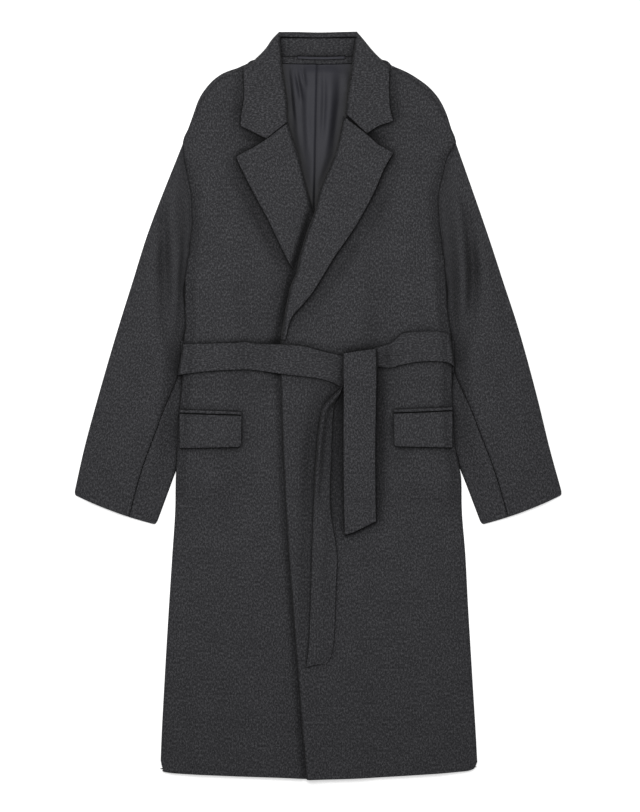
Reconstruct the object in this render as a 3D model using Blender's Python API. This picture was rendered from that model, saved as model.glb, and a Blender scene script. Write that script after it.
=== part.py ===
"""Wrap coat of charcoal wool, buttonless, laid flat on its back and tied with its own belt.

Units are millimetres in the tables and metres in Blender. The coat's length runs along Y with
the collar at +Y, Z points up from the surface it lies on, and the origin is the middle of that
footprint. "right" and "left" are the wearer's: the wearer's right front is on the -X side and lies
underneath, and the wearer's left front is on the +X side and laps over it.

Every body piece is cut out of one layered field. The field has one set of stations, and each
layer gives its height at them, so panels that lie on each other keep their spacing everywhere.
A pattern outline then cuts each panel from its layer, as cloth is cut.
"""

import math

import bmesh
import bpy

MM = 0.001

# Cloth and spacing.
WOOL = 2.2            # wall of one layer of coating wool
LINING = 1.0          # satin lining with its seam allowances
LAPEL = 3.5           # turned lapel: facing, canvas and under layer
COLLAR = 3.5          # collar leaf, made double
BELT = 3.0            # belt, made double
GAP = 0.5             # between layers that lie on each other
SEAM = 0.3            # between pieces that are sewn edge to edge

# How far layers under the back hold it off the surface.
SLEEVE_LIFT = 5.9     # sleeve tucked beneath the side
BELT_LIFT = BELT + 0.4
COLLAR_LIFT = 4.8     # collar leaf folded down behind the neck

# Height of each layer's underside above the back's underside.
FRONT_AT_SIDE = WOOL + 0.4
FRONT_INNER = WOOL + GAP + LINING + 0.7
OVERLAP_RISE = WOOL + GAP
LAPEL_RISE = LAPEL + GAP

# The side edge of the fronts is turned down to meet the back.
TURN_WALL = 2.7
BACK_INSET = 3.3

# Body edge: shoulder, armhole and side. One row for each station along the length.
# height, wearer's right edge, wearer's left edge, turned-down share, inset share of the back
BODY_ROWS = [
    (572, -100, 100, 1, 1),
    (552, -121, 119, 1, 1),
    (533, -161, 153, 1, 1),
    (514, -181, 179, 1, 1),
    (494, -194, 196, 1, 1),
    (470, -203, 208, 1, 1),
    (448, -211, 215, 1, 1),
    (425, -220, 223, 0, 1),
    (400, -219, 209, 0, 0),
    (375, -214, 203, 0, 0),
    (335, -207, 195, 0, 0),
    (295, -206, 197, 0, 0),
    (262, -210, 202, 0, 0),
    (248, -211, 203, 0, 0),
    (235, -212, 204, 0, 1),
    (215, -216, 205, 1, 1),
    (190, -217, 207, 1, 1),
    (160, -216, 208, 1, 1),
    (128, -215, 212, 1, 1),
    (110, -217, 214, 1, 1),
    (46, -220, 216, 1, 1),
    (24, -222, 216, 1, 1),
    (-60, -228, 220, 1, 1),
    (-122, -231, 231, 1, 1),
    (-165, -233, 233, 1, 1),
    (-322, -242, 241, 1, 1),
    (-439, -249, 247, 1, 1),
    (-556, -255, 254, 1, 1),
    (-612, -255, 255, 1, 1),
]
WIDE_HALF = 215       # half-width at which the distances below are true

# Field columns: distance in from an edge, or place between the two innermost edge columns.
EDGE_COLUMNS = [0.0, 1.2, TURN_WALL, 3.0, 9.0, 40.0, 72.0, 115.0]
CENTRE_COLUMNS = [0.18, 0.5, 0.82]
BELT_COLUMNS = [-4.2, -3.4, -1.0, -0.7]
KEEP_DISTANCE = 9.0   # nearer the edge than this, distances don't shrink with the row

# Sleeve sections from cuff to sleeve head, one row each.
# height of the outer fold, right and left outer folds, then the inner fold's height and its
# place on the right and left sleeve, the height of the top layer, and the share of the width at
# which the seam shows on top
SLEEVE_ROWS = [
    (-146, -394, 393, -189, -265, 266, 5.8, 0.70),
    (-70, -378, 373, -118, -236, 236, 6.2, 0.665),
    (8, -357, 354, -46, -210, 207, 6.6, 0.645),
    (125, -323, 322, 56, -187, 180, 7.0, 0.78),
    (202, -299, 297, 112, -188, 178, 7.2, 0.78),
    (270, -278, 275, 150, -196, 184, 7.2, 0.735),
]
# Places round a section as shares of its width, and the armhole's heights at the same places.
SLEEVE_STATIONS = [0.0, 0.12, 0.24, 0.38, 0.5, 0.56, 0.6, 0.64, 0.7, 0.8, 0.9, 1.0]
ARMHOLE_HEIGHTS = [425, 400, 375, 335, 295, 262, 235, 215, 208, 203, 197, 190]
UNDERARM_STATION = 0.64   # from here on the armhole lies in under the front
ARMHOLE_INWARD = 14    # how far its lowest point lies in
SEAM_STATION = 0.7    # station of the seam on top
BACK_SEAM = 0.14      # share of the width of the seam underneath
FOLD_STATION = 0.05   # stations nearer a fold than this are left to its rounding
FOLD_ANGLES = (90, 45, 0, -45, -90)
SLEEVE_FLAT = 5.2     # height of the sleeve where the body lies on it
CUFF_BOW = 5.0

HEM_SIDE = -594
HEM_DROP = 12

ROLL_RIGHT = [(-64, 558), (-59, 525), (-51, 492), (-49, 457), (-40, 429), (-23, 369), (-6, 311)]
HIDDEN_EDGE = [(20, 245), (45, 170), (60, 105), (60, 46), (58, -60), (62, -322), (76, -612)]
ROLL_LEFT = [(53, 558), (51, 531), (46, 499), (40, 467), (33, 432), (25, 402), (-7, 311),
             (-32, 235), (-46, 190), (-53, 156), (-61, 105)]
CLOSURE = [(-61, 46), (-58, -57), (-53, -164), (-41, -339), (-30, -478), (-19, -612)]

LAPEL_RIGHT = [(-49, 457), (-40, 429), (-23, 369), (-6, 311), (20, 245), (45, 170), (58, 112),
               (30, 132), (-5, 172), (-38, 216), (-53, 240), (-81, 298), (-102, 337),
               (-122, 376), (-133, 400), (-121, 407), (-106, 415), (-84, 429)]
LAPEL_LEFT = [(43, 470), (33, 432), (25, 402), (-7, 311), (-32, 235), (-46, 190), (-53, 156),
              (-61, 107), (-53, 107), (-48, 128), (-41, 144), (-25, 162), (-7, 185), (15, 221),
              (45, 266), (65, 297), (88, 339), (106, 381), (121, 407), (97, 420), (78, 437)]
LEAF_RIGHT = [(-49, 458.4), (-84, 429.6), (-111, 443), (-126, 450), (-125, 467), (-121, 489),
              (-120, 512), (-121, 546), (-115, 552), (-65, 602), (-64, 554), (-59, 525),
              (-51, 492)]
LEAF_LEFT = [(43, 471), (78, 438), (97, 450), (121, 458), (116, 478), (114, 501), (114, 525),
             (115, 551), (65, 602), (53, 554), (51, 531), (46, 499)]

# Neck corner of the body panels on the wearer's right, clear of the leaf that wraps round it.
NECK_CORNER = [(-103, 558.5), (-117.4, 544.5), (-118.6, 550)]

COLLAR_HALF = 64      # half of the fold behind the neck
COLLAR_WIDE = 117     # half-width where the leaf turns under
COLLAR_TOP = 603
COLLAR_TURN = 552
COLLAR_END = 515      # lower edge of the leaf behind the back
STAND_SEAM = 595
NECK_SEAM = 563
FACING_SEAM = 552.4     # where the lining starts below the wool strip

BELT_RIGHT = [(-260, 98), (-142, 100), (-121, 102), (-95, 99), (-30, 96), (5, 87), (39.6, 79),
              (37, 28), (7, 41), (-59, 50), (-95, 55), (-121, 57), (-179, 55), (-260, 47)]
BELT_LEFT = [(93.4, 91), (116, 100), (132, 115), (153, 118), (184, 119), (260, 113),
             (260, 62), (205, 70), (166, 70), (132, 64), (116, 60), (93.4, 64)]
BELT_BACK_LOW = 52
BELT_BACK_HIGH = 104
KNOT = [(41, 38), (92, 38), (92, 88), (41, 82)]
KNOT_TOP = 20.4
BAND = [(40, 84), (93, 90), (91, -57), (93, -188), (56, -207), (42, -210), (40, -57)]
UNDER_END = [(11, 37), (36.6, 26), (37, 2), (34, -57), (32, -191), (28, -298), (25, -379),
             (20, -407), (7, -420), (-20, -424), (-15, -374), (-11, -245), (-6, -138),
             (-2, -78), (2, -31), (8, -5)]

# Pocket flaps: the inner end, then the heights of the top and lower edges at both ends.
FLAP_RADIUS = 5
FLAP_ROWS = {
    "right": {"sign": -1, "inner": -124, "top_in": -19, "top_out": -12.5, "low_in": -68,
              "low_out": -70},
    "left": {"sign": 1, "inner": 121, "top_in": -12.5, "top_out": -9.5, "low_in": -67,
             "low_out": -69},
}
FLAP_THICK = 3.2
WELT_HEIGHT = 5.2
WELT_THICK = 2.4

WOOL_COLOR = (0.045, 0.046, 0.049, 1)
LINING_COLOR = (0.040, 0.040, 0.046, 1)


def material(name, color, roughness):
    """Principled material of one colour."""
    made = bpy.data.materials.new(name)
    made.use_nodes = True
    shader = made.node_tree.nodes["Principled BSDF"]
    shader.inputs["Base Color"].default_value = color
    shader.inputs["Roughness"].default_value = roughness
    return made


def between(value, stops):
    """Straight interpolation through (place, amount) stops, in rising order of place."""
    if value <= stops[0][0]:
        return stops[0][1]
    for (a, low), (b, high) in zip(stops, stops[1:]):
        if value <= b:
            return low + (high - low) * (value - a) / (b - a)
    return stops[-1][1]


def row_value(height, column):
    """A column of BODY_ROWS at any height."""
    stops = [(row[0], row[column]) for row in reversed(BODY_ROWS)]
    return between(height, stops)


def edge(side, height):
    """X of the body's edge on one side."""
    return row_value(height, 1 if side == "right" else 2)


def column_x(column, height):
    """X of a field column at a height."""
    kind, place = column
    right, left = edge("right", height), edge("left", height)
    shrink = min(1.0, (left - right) / 2 / WIDE_HALF)

    def inward(distance):
        if distance <= KEEP_DISTANCE:
            return distance
        return KEEP_DISTANCE + (distance - KEEP_DISTANCE) * shrink

    if kind == "right":
        return right + inward(place)
    if kind == "left":
        return left - inward(place)
    low = right + inward(EDGE_COLUMNS[-1])
    high = left - inward(EDGE_COLUMNS[-1])
    return low + (high - low) * place


def all_columns(outside=()):
    """Columns from the wearer's right edge to the left edge."""
    places = list(outside) + EDGE_COLUMNS
    columns = [("right", place) for place in places]
    columns += [("centre", place) for place in CENTRE_COLUMNS]
    columns += [("left", place) for place in reversed(places)]
    return columns


def sleeve_lift(column, height):
    """Lift where a sleeve lies beneath the side."""
    kind, place = column
    if kind == "centre":
        return 0.0
    along = between(height, [(-165, 0), (-122, 1), (190, 1), (215, 0.92), (235, 0.5),
                             (248, 0.22), (262, 0)])
    across = between(place, [(72, 1), (115, 0)])
    return SLEEVE_LIFT * along * across


def collar_lift(height):
    """Lift of the back's top by the collar leaf behind it."""
    return COLLAR_LIFT * between(height, [(470, 0), (514, 1)])


def belt_lift(height):
    """Lift of the back by the belt that passes behind it."""
    return BELT_LIFT * between(height, [(24, 0), (46, 1), (110, 1), (128, 0)])


def back_low(column, height):
    """Underside of the back."""
    return sleeve_lift(column, height) + collar_lift(height) + belt_lift(height)


def front_rise(column):
    """Underside of a front that lies straight on the back, above the back's underside."""
    kind, place = column
    if kind == "centre":
        return FRONT_INNER
    return between(place, [(9, FRONT_AT_SIDE), (40, FRONT_INNER)])


def overlap_rise(column, height):
    """Extra height of the left front over the right front and its hidden lapel."""
    kind, _ = column
    if kind != "centre":
        return 0.0
    over_front = between(height, [(335, 1), (375, 0)])
    over_lapel = between(height, [(46, 0), (110, 1), (335, 1), (375, 0)])
    return OVERLAP_RISE * over_front + LAPEL_RISE * over_lapel


def front_low(which, column, height):
    """Underside of a front away from its turned edge."""
    low = back_low(column, height) + front_rise(column)
    return low + (overlap_rise(column, height) if which == "left" else 0.0)


def front_top(which, column, height):
    """Upper face of a front away from its turned edge."""
    return front_low(which, column, height) + WOOL


def belt_low(which, column, height):
    """Underside of the belt over the fronts: it stays on the upper front past the closure."""
    kind, _ = column
    upper = kind in ("centre", "left") or which == "left"
    return front_top("left" if upper else "right", column, height) + GAP


def turned_low(which, column, height):
    """Underside of a front with its side edge turned down to the back."""
    _, place = column
    low = front_low(which, column, height)
    turned = row_value(height, 3)
    if column[0] == which and place <= TURN_WALL:
        return low + (back_low(column, height) - low) * turned
    return low


def turned_top(which, column, height):
    """Upper face of a front, rounded where the side edge turns down."""
    top = front_top(which, column, height)
    drop = between(column[1], [(0, 3.4), (1.2, 1.3), (3.0, 0.35), (9, 0)])
    return top - (drop * row_value(height, 3) if column[0] == which else 0.0)


def add_object(name, points, faces, look, smooth_angle=None):
    """Mesh object from millimetre points."""
    mesh = bpy.data.meshes.new(name)
    mesh.from_pydata([(x * MM, y * MM, z * MM) for x, y, z in points], [], faces)
    work = bmesh.new()
    work.from_mesh(mesh)
    bmesh.ops.recalc_face_normals(work, faces=work.faces)
    work.to_mesh(mesh)
    work.free()
    mesh.materials.append(look)
    if smooth_angle is not None:
        mesh.shade_smooth()
        mesh.set_sharp_from_angle(angle=math.radians(smooth_angle))
    made = bpy.data.objects.new(name, mesh)
    bpy.context.scene.collection.objects.link(made)
    return made


def slab(name, plan, low, top, look):
    """Closed slab over a grid of plan points, with its heights given as grids."""
    rows, columns = len(plan), len(plan[0])
    points = [(*plan[i][j], low[i][j]) for i in range(rows) for j in range(columns)]
    points += [(*plan[i][j], top[i][j]) for i in range(rows) for j in range(columns)]
    shift = rows * columns

    def at(i, j):
        return i * columns + j

    faces = []
    for i in range(rows - 1):
        for j in range(columns - 1):
            a, b, c, d = at(i, j), at(i, j + 1), at(i + 1, j + 1), at(i + 1, j)
            faces += [(a, b, c), (a, c, d)]
            faces += [(shift + a, shift + c, shift + b), (shift + a, shift + d, shift + c)]
    rim = [at(0, j) for j in range(columns)]
    rim += [at(i, columns - 1) for i in range(1, rows)]
    rim += [at(rows - 1, j) for j in range(columns - 2, -1, -1)]
    rim += [at(i, 0) for i in range(rows - 2, 0, -1)]
    for a, b in zip(rim, rim[1:] + rim[:1]):
        faces.append((a, b, shift + b, shift + a))
    return add_object(name, points, faces, look)


def field_slab(name, columns, heights, low, top, look):
    """Slab over the layered field; low and top give heights from (column, height)."""
    plan = [[(column_x(column, y), y) for column in columns] for y in heights]
    lows = [[low(column, y) for column in columns] for y in heights]
    tops = [[top(column, y) for column in columns] for y in heights]
    return slab(name, plan, lows, tops, look)


def cut_to(piece, outline):
    """Keep only what lies inside a pattern outline."""
    count = len(outline)
    points = [(x, y, -60) for x, y in outline] + [(x, y, 90) for x, y in outline]
    faces = [tuple(range(count)), tuple(range(count, 2 * count))]
    faces += [(i, (i + 1) % count, count + (i + 1) % count, count + i) for i in range(count)]
    cutter = add_object(piece.name + "_pattern", points, faces, piece.data.materials[0])
    cutter.hide_render = True
    cutter.display_type = "WIRE"
    cut = piece.modifiers.new("pattern", "BOOLEAN")
    cut.operation = "INTERSECT"
    cut.solver = "EXACT"
    cut.object = cutter
    return piece


def row_heights(low, high):
    """Stations of the field from low to high."""
    return [row[0] for row in reversed(BODY_ROWS) if low <= row[0] <= high]


def hem_height(x, short=0.0):
    """Height of the hem's curve."""
    return HEM_SIDE - HEM_DROP * (1 - (x / 255) ** 2) + short


def hem_points(x_from, x_to, short=0.0, steps=6):
    """Points along the hem."""
    xs = [x_from + (x_to - x_from) * i / steps for i in range(steps + 1)]
    return [(x, hem_height(x, short)) for x in xs]


def side_points(side, descending=True, inset=0.0):
    """The body's edge as outline points, from the shoulder down or from the hem up."""
    sign = -1 if side == "right" else 1
    rows = [row for row in BODY_ROWS if -580 < row[0] < 540]
    points = []
    for row in rows:
        share = row[4] if inset else 0
        x = row[1] if side == "right" else row[2]
        outer = 0 if inset and share else 6
        points.append((x + sign * outer - sign * inset * share, row[0]))
    return points if descending else points[::-1]


def neck_corner(side):
    """The body panels' corner between neck and shoulder, from the neck outward."""
    return NECK_CORNER if side == "right" else [(-x, y) for x, y in reversed(NECK_CORNER)]


def make_back(look):
    """Back panel, inside the turned edges of the fronts."""
    columns = [c for c in all_columns() if c[0] == "centre" or c[1] not in (1.2, TURN_WALL)]
    piece = field_slab("back", columns, row_heights(-700, 700), back_low,
                       lambda c, y: back_low(c, y) + WOOL, look)
    outline = [(-90, NECK_SEAM - SEAM)] + neck_corner("right")
    outline += side_points("right", inset=BACK_INSET) + hem_points(-250, 250, short=3)
    outline += side_points("left", False, inset=BACK_INSET) + neck_corner("left")
    outline += [(90, NECK_SEAM - SEAM)]
    return cut_to(piece, outline)


def make_front(which, look):
    """A front panel, from its side edge to its roll line and front edge."""
    low_row = row_heights(-700, 700)
    if which == "right":
        columns = [c for c in all_columns() if c[0] != "left" or c[1] == 115]
        inner = [(x - 4, y) for x, y in ROLL_RIGHT] + HIDDEN_EDGE[:-1]
        inner.append((76, hem_height(76, 1.5)))
        outline = inner[::-1] + neck_corner("right") + side_points("right")
        outline += hem_points(-262, 60, short=1.5)
    else:
        columns = [c for c in all_columns() if c[0] != "right" or c[1] == 115]
        inner = [(x + 4, y) for x, y in ROLL_LEFT] + CLOSURE[:-1] + [(-19, hem_height(-19))]
        outline = inner + hem_points(-5, 262)
        outline += side_points("left", False) + neck_corner("left")
    piece = field_slab("front_" + which, columns, low_row,
                       lambda c, y: turned_low(which, c, y),
                       lambda c, y: turned_top(which, c, y), look)
    return cut_to(piece, outline)


def make_lapel(which, look):
    """A lapel, turned back on its front."""
    columns = [c for c in all_columns() if c[0] == "centre" or c[1] >= 9]
    piece = field_slab("lapel_" + which, columns, row_heights(40, 480),
                       lambda c, y: front_top(which, c, y) + GAP,
                       lambda c, y: front_top(which, c, y) + GAP + LAPEL, look)
    return cut_to(piece, LAPEL_RIGHT if which == "right" else LAPEL_LEFT)


def make_leaf(which, look):
    """The stretch of the collar leaf that lies on a front."""
    heights = [424, 470, 514, 552, 606]
    xs = (-132, -40) if which == "right" else (36, 128)
    clear = 0.8

    def low(y):
        return collar_lift(y) + FRONT_INNER + WOOL + clear

    plan = [[(x, y) for x in xs] for y in heights]
    lows = [[low(y) for _ in xs] for y in heights]
    tops = [[low(y) + COLLAR for _ in xs] for y in heights]
    piece = slab("collar_leaf_" + which, plan, lows, tops, look)
    return cut_to(piece, LEAF_RIGHT if which == "right" else LEAF_LEFT)


def make_collar_back(look):
    """The leaf behind the neck: folded over at the top, and turned up where it goes forward."""
    centre = 4.4
    inner = centre - COLLAR
    rim = COLLAR_LIFT + FRONT_INNER + WOOL + 0.4
    xs = [-COLLAR_WIDE, -95, -COLLAR_HALF - 2, -COLLAR_HALF + 2, -35, 0, 35, COLLAR_HALF - 2,
          COLLAR_HALF + 2, 95, COLLAR_WIDE]
    slope = (COLLAR_TOP - COLLAR_TURN) / (COLLAR_WIDE - COLLAR_HALF)
    diagonal = 0.70710678
    points = []
    for x in xs:
        out = max(0.0, abs(x) - COLLAR_HALF)
        end = COLLAR_TOP - slope * out
        low = COLLAR_END + 0.35 * out
        outer = [(low, 0), (end - centre, 0), (end - centre * (1 - diagonal), centre * 0.3),
                 (end, centre)]
        mid = end - centre
        within = [(low, COLLAR), (mid, COLLAR), (mid + inner * diagonal, centre - inner * 0.7),
                  (mid + inner, centre)]
        if out > 0:
            outer += [(end, rim - 2), (end, rim)]
            within += [(mid + inner, rim - 2), (mid + inner, rim)]
        else:
            outer += [(end - centre * (1 - diagonal), centre * 1.7), (STAND_SEAM, centre * 2)]
            within += [(mid + inner * diagonal, centre + inner * 0.7),
                       (STAND_SEAM, centre * 2 - COLLAR)]
        points += [(x, y, z) for y, z in outer + within]
    ring = 12
    order = [0, 1, 2, 3, 4, 5, 11, 10, 9, 8, 7, 6]
    faces = []
    for k in range(len(xs) - 1):
        for a, b in zip(order, order[1:] + order[:1]):
            faces.append((k * ring + a, k * ring + b, (k + 1) * ring + b, (k + 1) * ring + a))
    last = (len(xs) - 1) * ring
    for base in (0, last):
        for i in range(5):
            faces.append((base + i, base + i + 1, base + 7 + i, base + 6 + i))
    return add_object("collar_back", points, faces, look)


def make_stand(look):
    """Collar stand, seen inside the neck between its seam and the neck seam."""
    low, top = 5.2, 5.2 + COLLAR - 0.5
    heights = [NECK_SEAM + SEAM, STAND_SEAM - SEAM]
    xs = [-COLLAR_HALF, 0, COLLAR_HALF]
    plan = [[(x, y) for x in xs] for y in heights]
    return slab("collar_stand", plan, [[low] * 3] * 2, [[top] * 3] * 2, look)


def make_neck_pieces(wool, lining):
    """Back lining, wool facing strip above it and the hanger loop on the strip."""
    columns = [c for c in all_columns() if c[0] == "centre" or c[1] >= 72]
    base = WOOL + 0.4
    piece = field_slab("lining_back", columns, row_heights(280, 580),
                       lambda c, y: collar_lift(y) + base,
                       lambda c, y: collar_lift(y) + base + LINING, lining)
    outline = [(-78, FACING_SEAM - SEAM), (-70, 500), (-62, 450), (-40, 385), (-20, 325), (-8, 300),
               (6, 300), (36, 385), (55, 450), (64, 500), (70, FACING_SEAM - SEAM)]
    cut_to(piece, outline)
    low = COLLAR_LIFT + base
    strip = [[(x, y) for x in (-64, 0, 52)] for y in (FACING_SEAM, NECK_SEAM - SEAM)]
    slab("neck_facing", strip, [[low] * 3] * 2, [[low + LINING + 1] * 3] * 2, wool)
    loop_low = low + LINING + 1 + SEAM
    loop = [[(x, y) for x in (-35, 4, 43)] for y in (557, 561.5)]
    slab("hanger_loop", loop, [[loop_low] * 3] * 2, [[loop_low + 1.5] * 3] * 2, lining)


def section_points(section, over_top):
    """Outer and inner faces of a sleeve wall along one section, from its top seam to its back one.

    over_top is True for the upper sleeve, round the outer fold, and False for the under sleeve.
    """
    plan_at, width, height, seam = section
    gap = SEAM / width * (-1 if over_top else 1)

    def placed(station):
        if station <= SEAM_STATION:
            return station * seam / SEAM_STATION
        return seam + (station - SEAM_STATION) * (1 - seam) / (1 - SEAM_STATION)

    if over_top:
        tops = [s for s in SLEEVE_STATIONS if FOLD_STATION < s < SEAM_STATION][::-1]
        bottoms = [s for s in SLEEVE_STATIONS if FOLD_STATION < s < BACK_SEAM]
    else:
        tops = [s for s in SLEEVE_STATIONS if SEAM_STATION < s < 1 - FOLD_STATION]
        bottoms = [s for s in SLEEVE_STATIONS if BACK_SEAM < s < 1 - FOLD_STATION][::-1]
    radius = height(0.0 if over_top else 1.0) / 2
    outer, inner = [], []
    for share in [seam + gap] + [placed(s) for s in tops]:
        x, y = plan_at(share)
        outer.append((x, y, height(share)))
        inner.append((x, y, height(share) - WOOL))
    for degrees in FOLD_ANGLES:
        angle = math.radians(degrees)
        for radius_now, keep in ((radius, outer), (radius - WOOL, inner)):
            inset = (radius - radius_now * math.cos(angle)) / width
            x, y = plan_at(inset if over_top else 1 - inset)
            keep.append((x, y, radius + radius_now * math.sin(angle)))
    for share in [placed(s) for s in bottoms] + [BACK_SEAM + gap]:
        x, y = plan_at(share)
        outer.append((x, y, 0.0))
        inner.append((x, y, WOOL))
    return outer, inner


def sleeve_sections(which):
    """Plan function, width, height function and seam share of each section, cuff to armhole."""
    sign = -1 if which == "right" else 1
    made = []
    for number, row in enumerate(SLEEVE_ROWS):
        outer_y, outer_right, outer_left, inner_y, inner_right, inner_left, loft, seam = row
        outer = (outer_right if which == "right" else outer_left, outer_y)
        inner = (inner_right if which == "right" else inner_left, inner_y)
        bow = CUFF_BOW if number == 0 else 0.0

        def plan_at(share, outer=outer, inner=inner, bow=bow):
            x = outer[0] + (inner[0] - outer[0]) * share
            y = outer[1] + (inner[1] - outer[1]) * share
            return x, y - bow * 4 * share * (1 - share)

        def height(share, loft=loft):
            return between(share, [(0, loft - 0.4), (0.2, loft), (0.4, loft),
                                   (0.55, SLEEVE_FLAT + 0.3), (0.7, SLEEVE_FLAT)])

        made.append((plan_at, math.dist(outer, inner), height, seam))
    stops = list(zip(SLEEVE_STATIONS, ARMHOLE_HEIGHTS))

    def armhole(share):
        y = between(share, stops)
        inward = between(share, [(UNDERARM_STATION, 0), (1, ARMHOLE_INWARD)])
        return edge(which, y) + sign * (0.5 - inward), y

    def head_height(share):
        top = front_top(which, (which, 0.0), between(share, stops))
        return between(share, [(0, SLEEVE_FLAT), (0.12, top), (0.56, top),
                               (UNDERARM_STATION, SLEEVE_FLAT)])

    made.append((armhole, ARMHOLE_HEIGHTS[0] - ARMHOLE_HEIGHTS[-1], head_height, SEAM_STATION))
    return made


def make_sleeve_part(which, part, look):
    """Upper or under sleeve as a wall lofted through its sections."""
    rings = []
    for section in sleeve_sections(which):
        outer, inner = section_points(section, part == "upper")
        rings.append(outer + inner[::-1])
    halfway = [tuple((a + b) / 2 for a, b in zip(p, q)) for p, q in zip(rings[-2], rings[-1])]
    rings.insert(-1, halfway)
    count = len(rings[0])
    half = count // 2
    points = [p for ring in rings for p in ring]
    faces = []
    for k in range(len(rings) - 1):
        for i in range(count):
            j = (i + 1) % count
            faces.append((k * count + i, k * count + j, (k + 1) * count + j, (k + 1) * count + i))
    for base in (0, (len(rings) - 1) * count):
        for i in range(half - 1):
            faces.append((base + i, base + i + 1, base + count - 2 - i, base + count - 1 - i))
    return add_object("sleeve_" + part + "_" + which, points, faces, look)


def make_pocket(which, look):
    """Flap and the welt above it, laid on the front."""
    row = FLAP_ROWS[which]
    sign = row["sign"]
    columns = [c for c in all_columns() if c[0] == which and c[1] >= 3.0]
    heights = [-122, -60, 24]
    edge_in = row["inner"]
    edge_out = edge(which, -40) - sign * 3.6

    def top_at(x):
        share = (x - edge_in) / (edge_out - edge_in)
        return row["top_in"] + (row["top_out"] - row["top_in"]) * share

    flap = field_slab("flap_" + which, columns, heights,
                      lambda c, y: front_top(which, c, y) + 0.4,
                      lambda c, y: front_top(which, c, y) + 0.4 + FLAP_THICK, look)
    corner = [(edge_in, row["low_in"] + FLAP_RADIUS),
              (edge_in + sign * 1.5, row["low_in"] + 1.5),
              (edge_in + sign * FLAP_RADIUS, row["low_in"])]
    cut_to(flap, [(edge_out, top_at(edge_out)), (edge_in, row["top_in"])] + corner
           + [(edge_out, row["low_out"])])
    welt = field_slab("welt_" + which, columns, heights,
                      lambda c, y: front_top(which, c, y) + 0.4,
                      lambda c, y: front_top(which, c, y) + 0.4 + WELT_THICK, look)
    low = 0.4
    cut_to(welt, [(edge_out, top_at(edge_out) + low), (edge_in, row["top_in"] + low),
                  (edge_in, row["top_in"] + low + WELT_HEIGHT),
                  (edge_out, top_at(edge_out) + low + WELT_HEIGHT)])


def belt_columns(which):
    """Field columns of a belt run, from beyond its side to past the knot."""
    columns = all_columns(BELT_COLUMNS)
    if which == "right":
        return [c for c in columns if c[0] != "left"]
    return [c for c in columns if c[0] == "left" or c == ("centre", CENTRE_COLUMNS[-1])]


def make_belt_run(which, look):
    """Belt from the side to the knot, turned down round the side."""
    def low(column, y):
        if column[1] < -0.8 and column[0] == which:
            return sleeve_lift((which, 0.0), y) + BELT + GAP
        return belt_low(which, (column[0], max(column[1], 0.0)), y)

    def top(column, y):
        place = column[1]
        level = belt_low(which, (column[0], max(place, 0.0)), y) + BELT
        if column[0] == which and place < 0:
            return level - between(place, [(-4.2, 2.2), (-3.4, 0.8), (-1.0, 0)])
        return level

    piece = field_slab("belt_waist_" + which, belt_columns(which), row_heights(20, 130),
                       low, top, look)
    return cut_to(piece, BELT_RIGHT if which == "right" else BELT_LEFT)


def make_belt_back(look):
    """Belt behind the back, from side to side."""
    columns = [c for c in all_columns(BELT_COLUMNS[:1])
               if c[0] == "centre" or c[1] in (BELT_COLUMNS[0], 0.0, 72.0, 115.0)]

    def low(column, y):
        return sleeve_lift((column[0], max(column[1], 0.0)), y)

    piece = field_slab("belt_back", columns, row_heights(20, 130), low,
                       lambda c, y: low(c, y) + BELT, look)
    return cut_to(piece, [(-300, BELT_BACK_LOW), (300, BELT_BACK_LOW), (300, BELT_BACK_HIGH),
                          (-300, BELT_BACK_HIGH)])


def make_knot(look):
    """Knot core, the end that hangs over it and the end that comes out beneath."""
    columns = [("centre", 0.5), ("centre", 0.82), ("left", 115.0)]
    core = field_slab("belt_knot", columns, row_heights(20, 130),
                      lambda c, y: front_top("left", c, y) + GAP, lambda c, y: KNOT_TOP, look)
    cut_to(core, KNOT)

    on_front = FRONT_INNER + OVERLAP_RISE + WOOL + 0.9
    over_knot = KNOT_TOP + 0.6
    heights = [-215, -10, 32, 92]
    lows = [on_front, on_front, over_knot, over_knot]
    xs = (36, 66, 97)
    band = slab("belt_end_front", [[(x, y) for x in xs] for y in heights],
                [[z] * 3 for z in lows], [[z + BELT] * 3 for z in lows], look)
    cut_to(band, BAND)

    heights = [-430, 4, 24, 40]
    lows = [on_front, on_front, on_front + 0.3, on_front + 2.0]
    xs = (-24, 8, 42)
    end = slab("belt_end_under", [[(x, y) for x in xs] for y in heights],
               [[z] * 3 for z in lows], [[z + BELT] * 3 for z in lows], look)
    cut_to(end, UNDER_END)


def main():
    """Build the coat."""
    for old in list(bpy.data.objects):
        bpy.data.objects.remove(old, do_unlink=True)
    wool = material("charcoal_wool", WOOL_COLOR, 0.9)
    lining = material("satin_lining", LINING_COLOR, 0.45)
    make_back(wool)
    make_neck_pieces(wool, lining)
    make_stand(wool)
    make_collar_back(wool)
    for which in ("right", "left"):
        make_front(which, wool)
        make_lapel(which, wool)
        make_leaf(which, wool)
        make_sleeve_part(which, "upper", wool)
        make_sleeve_part(which, "under", wool)
        make_pocket(which, wool)
        make_belt_run(which, wool)
    make_belt_back(wool)
    make_knot(wool)


main()
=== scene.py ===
"""Looks of the wrap coat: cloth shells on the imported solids, wool and satin finishes, studio.

Tables are in millimetres and Blender's units are metres. Y runs along the coat to the collar, Z up
from the floor it lies on. "right" and "left" are the wearer's: right is the -X side, and lies
underneath where the fronts lap.
"""

import math

import bpy
import numpy as np
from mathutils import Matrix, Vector
from mathutils.geometry import delaunay_2d_cdt

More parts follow.
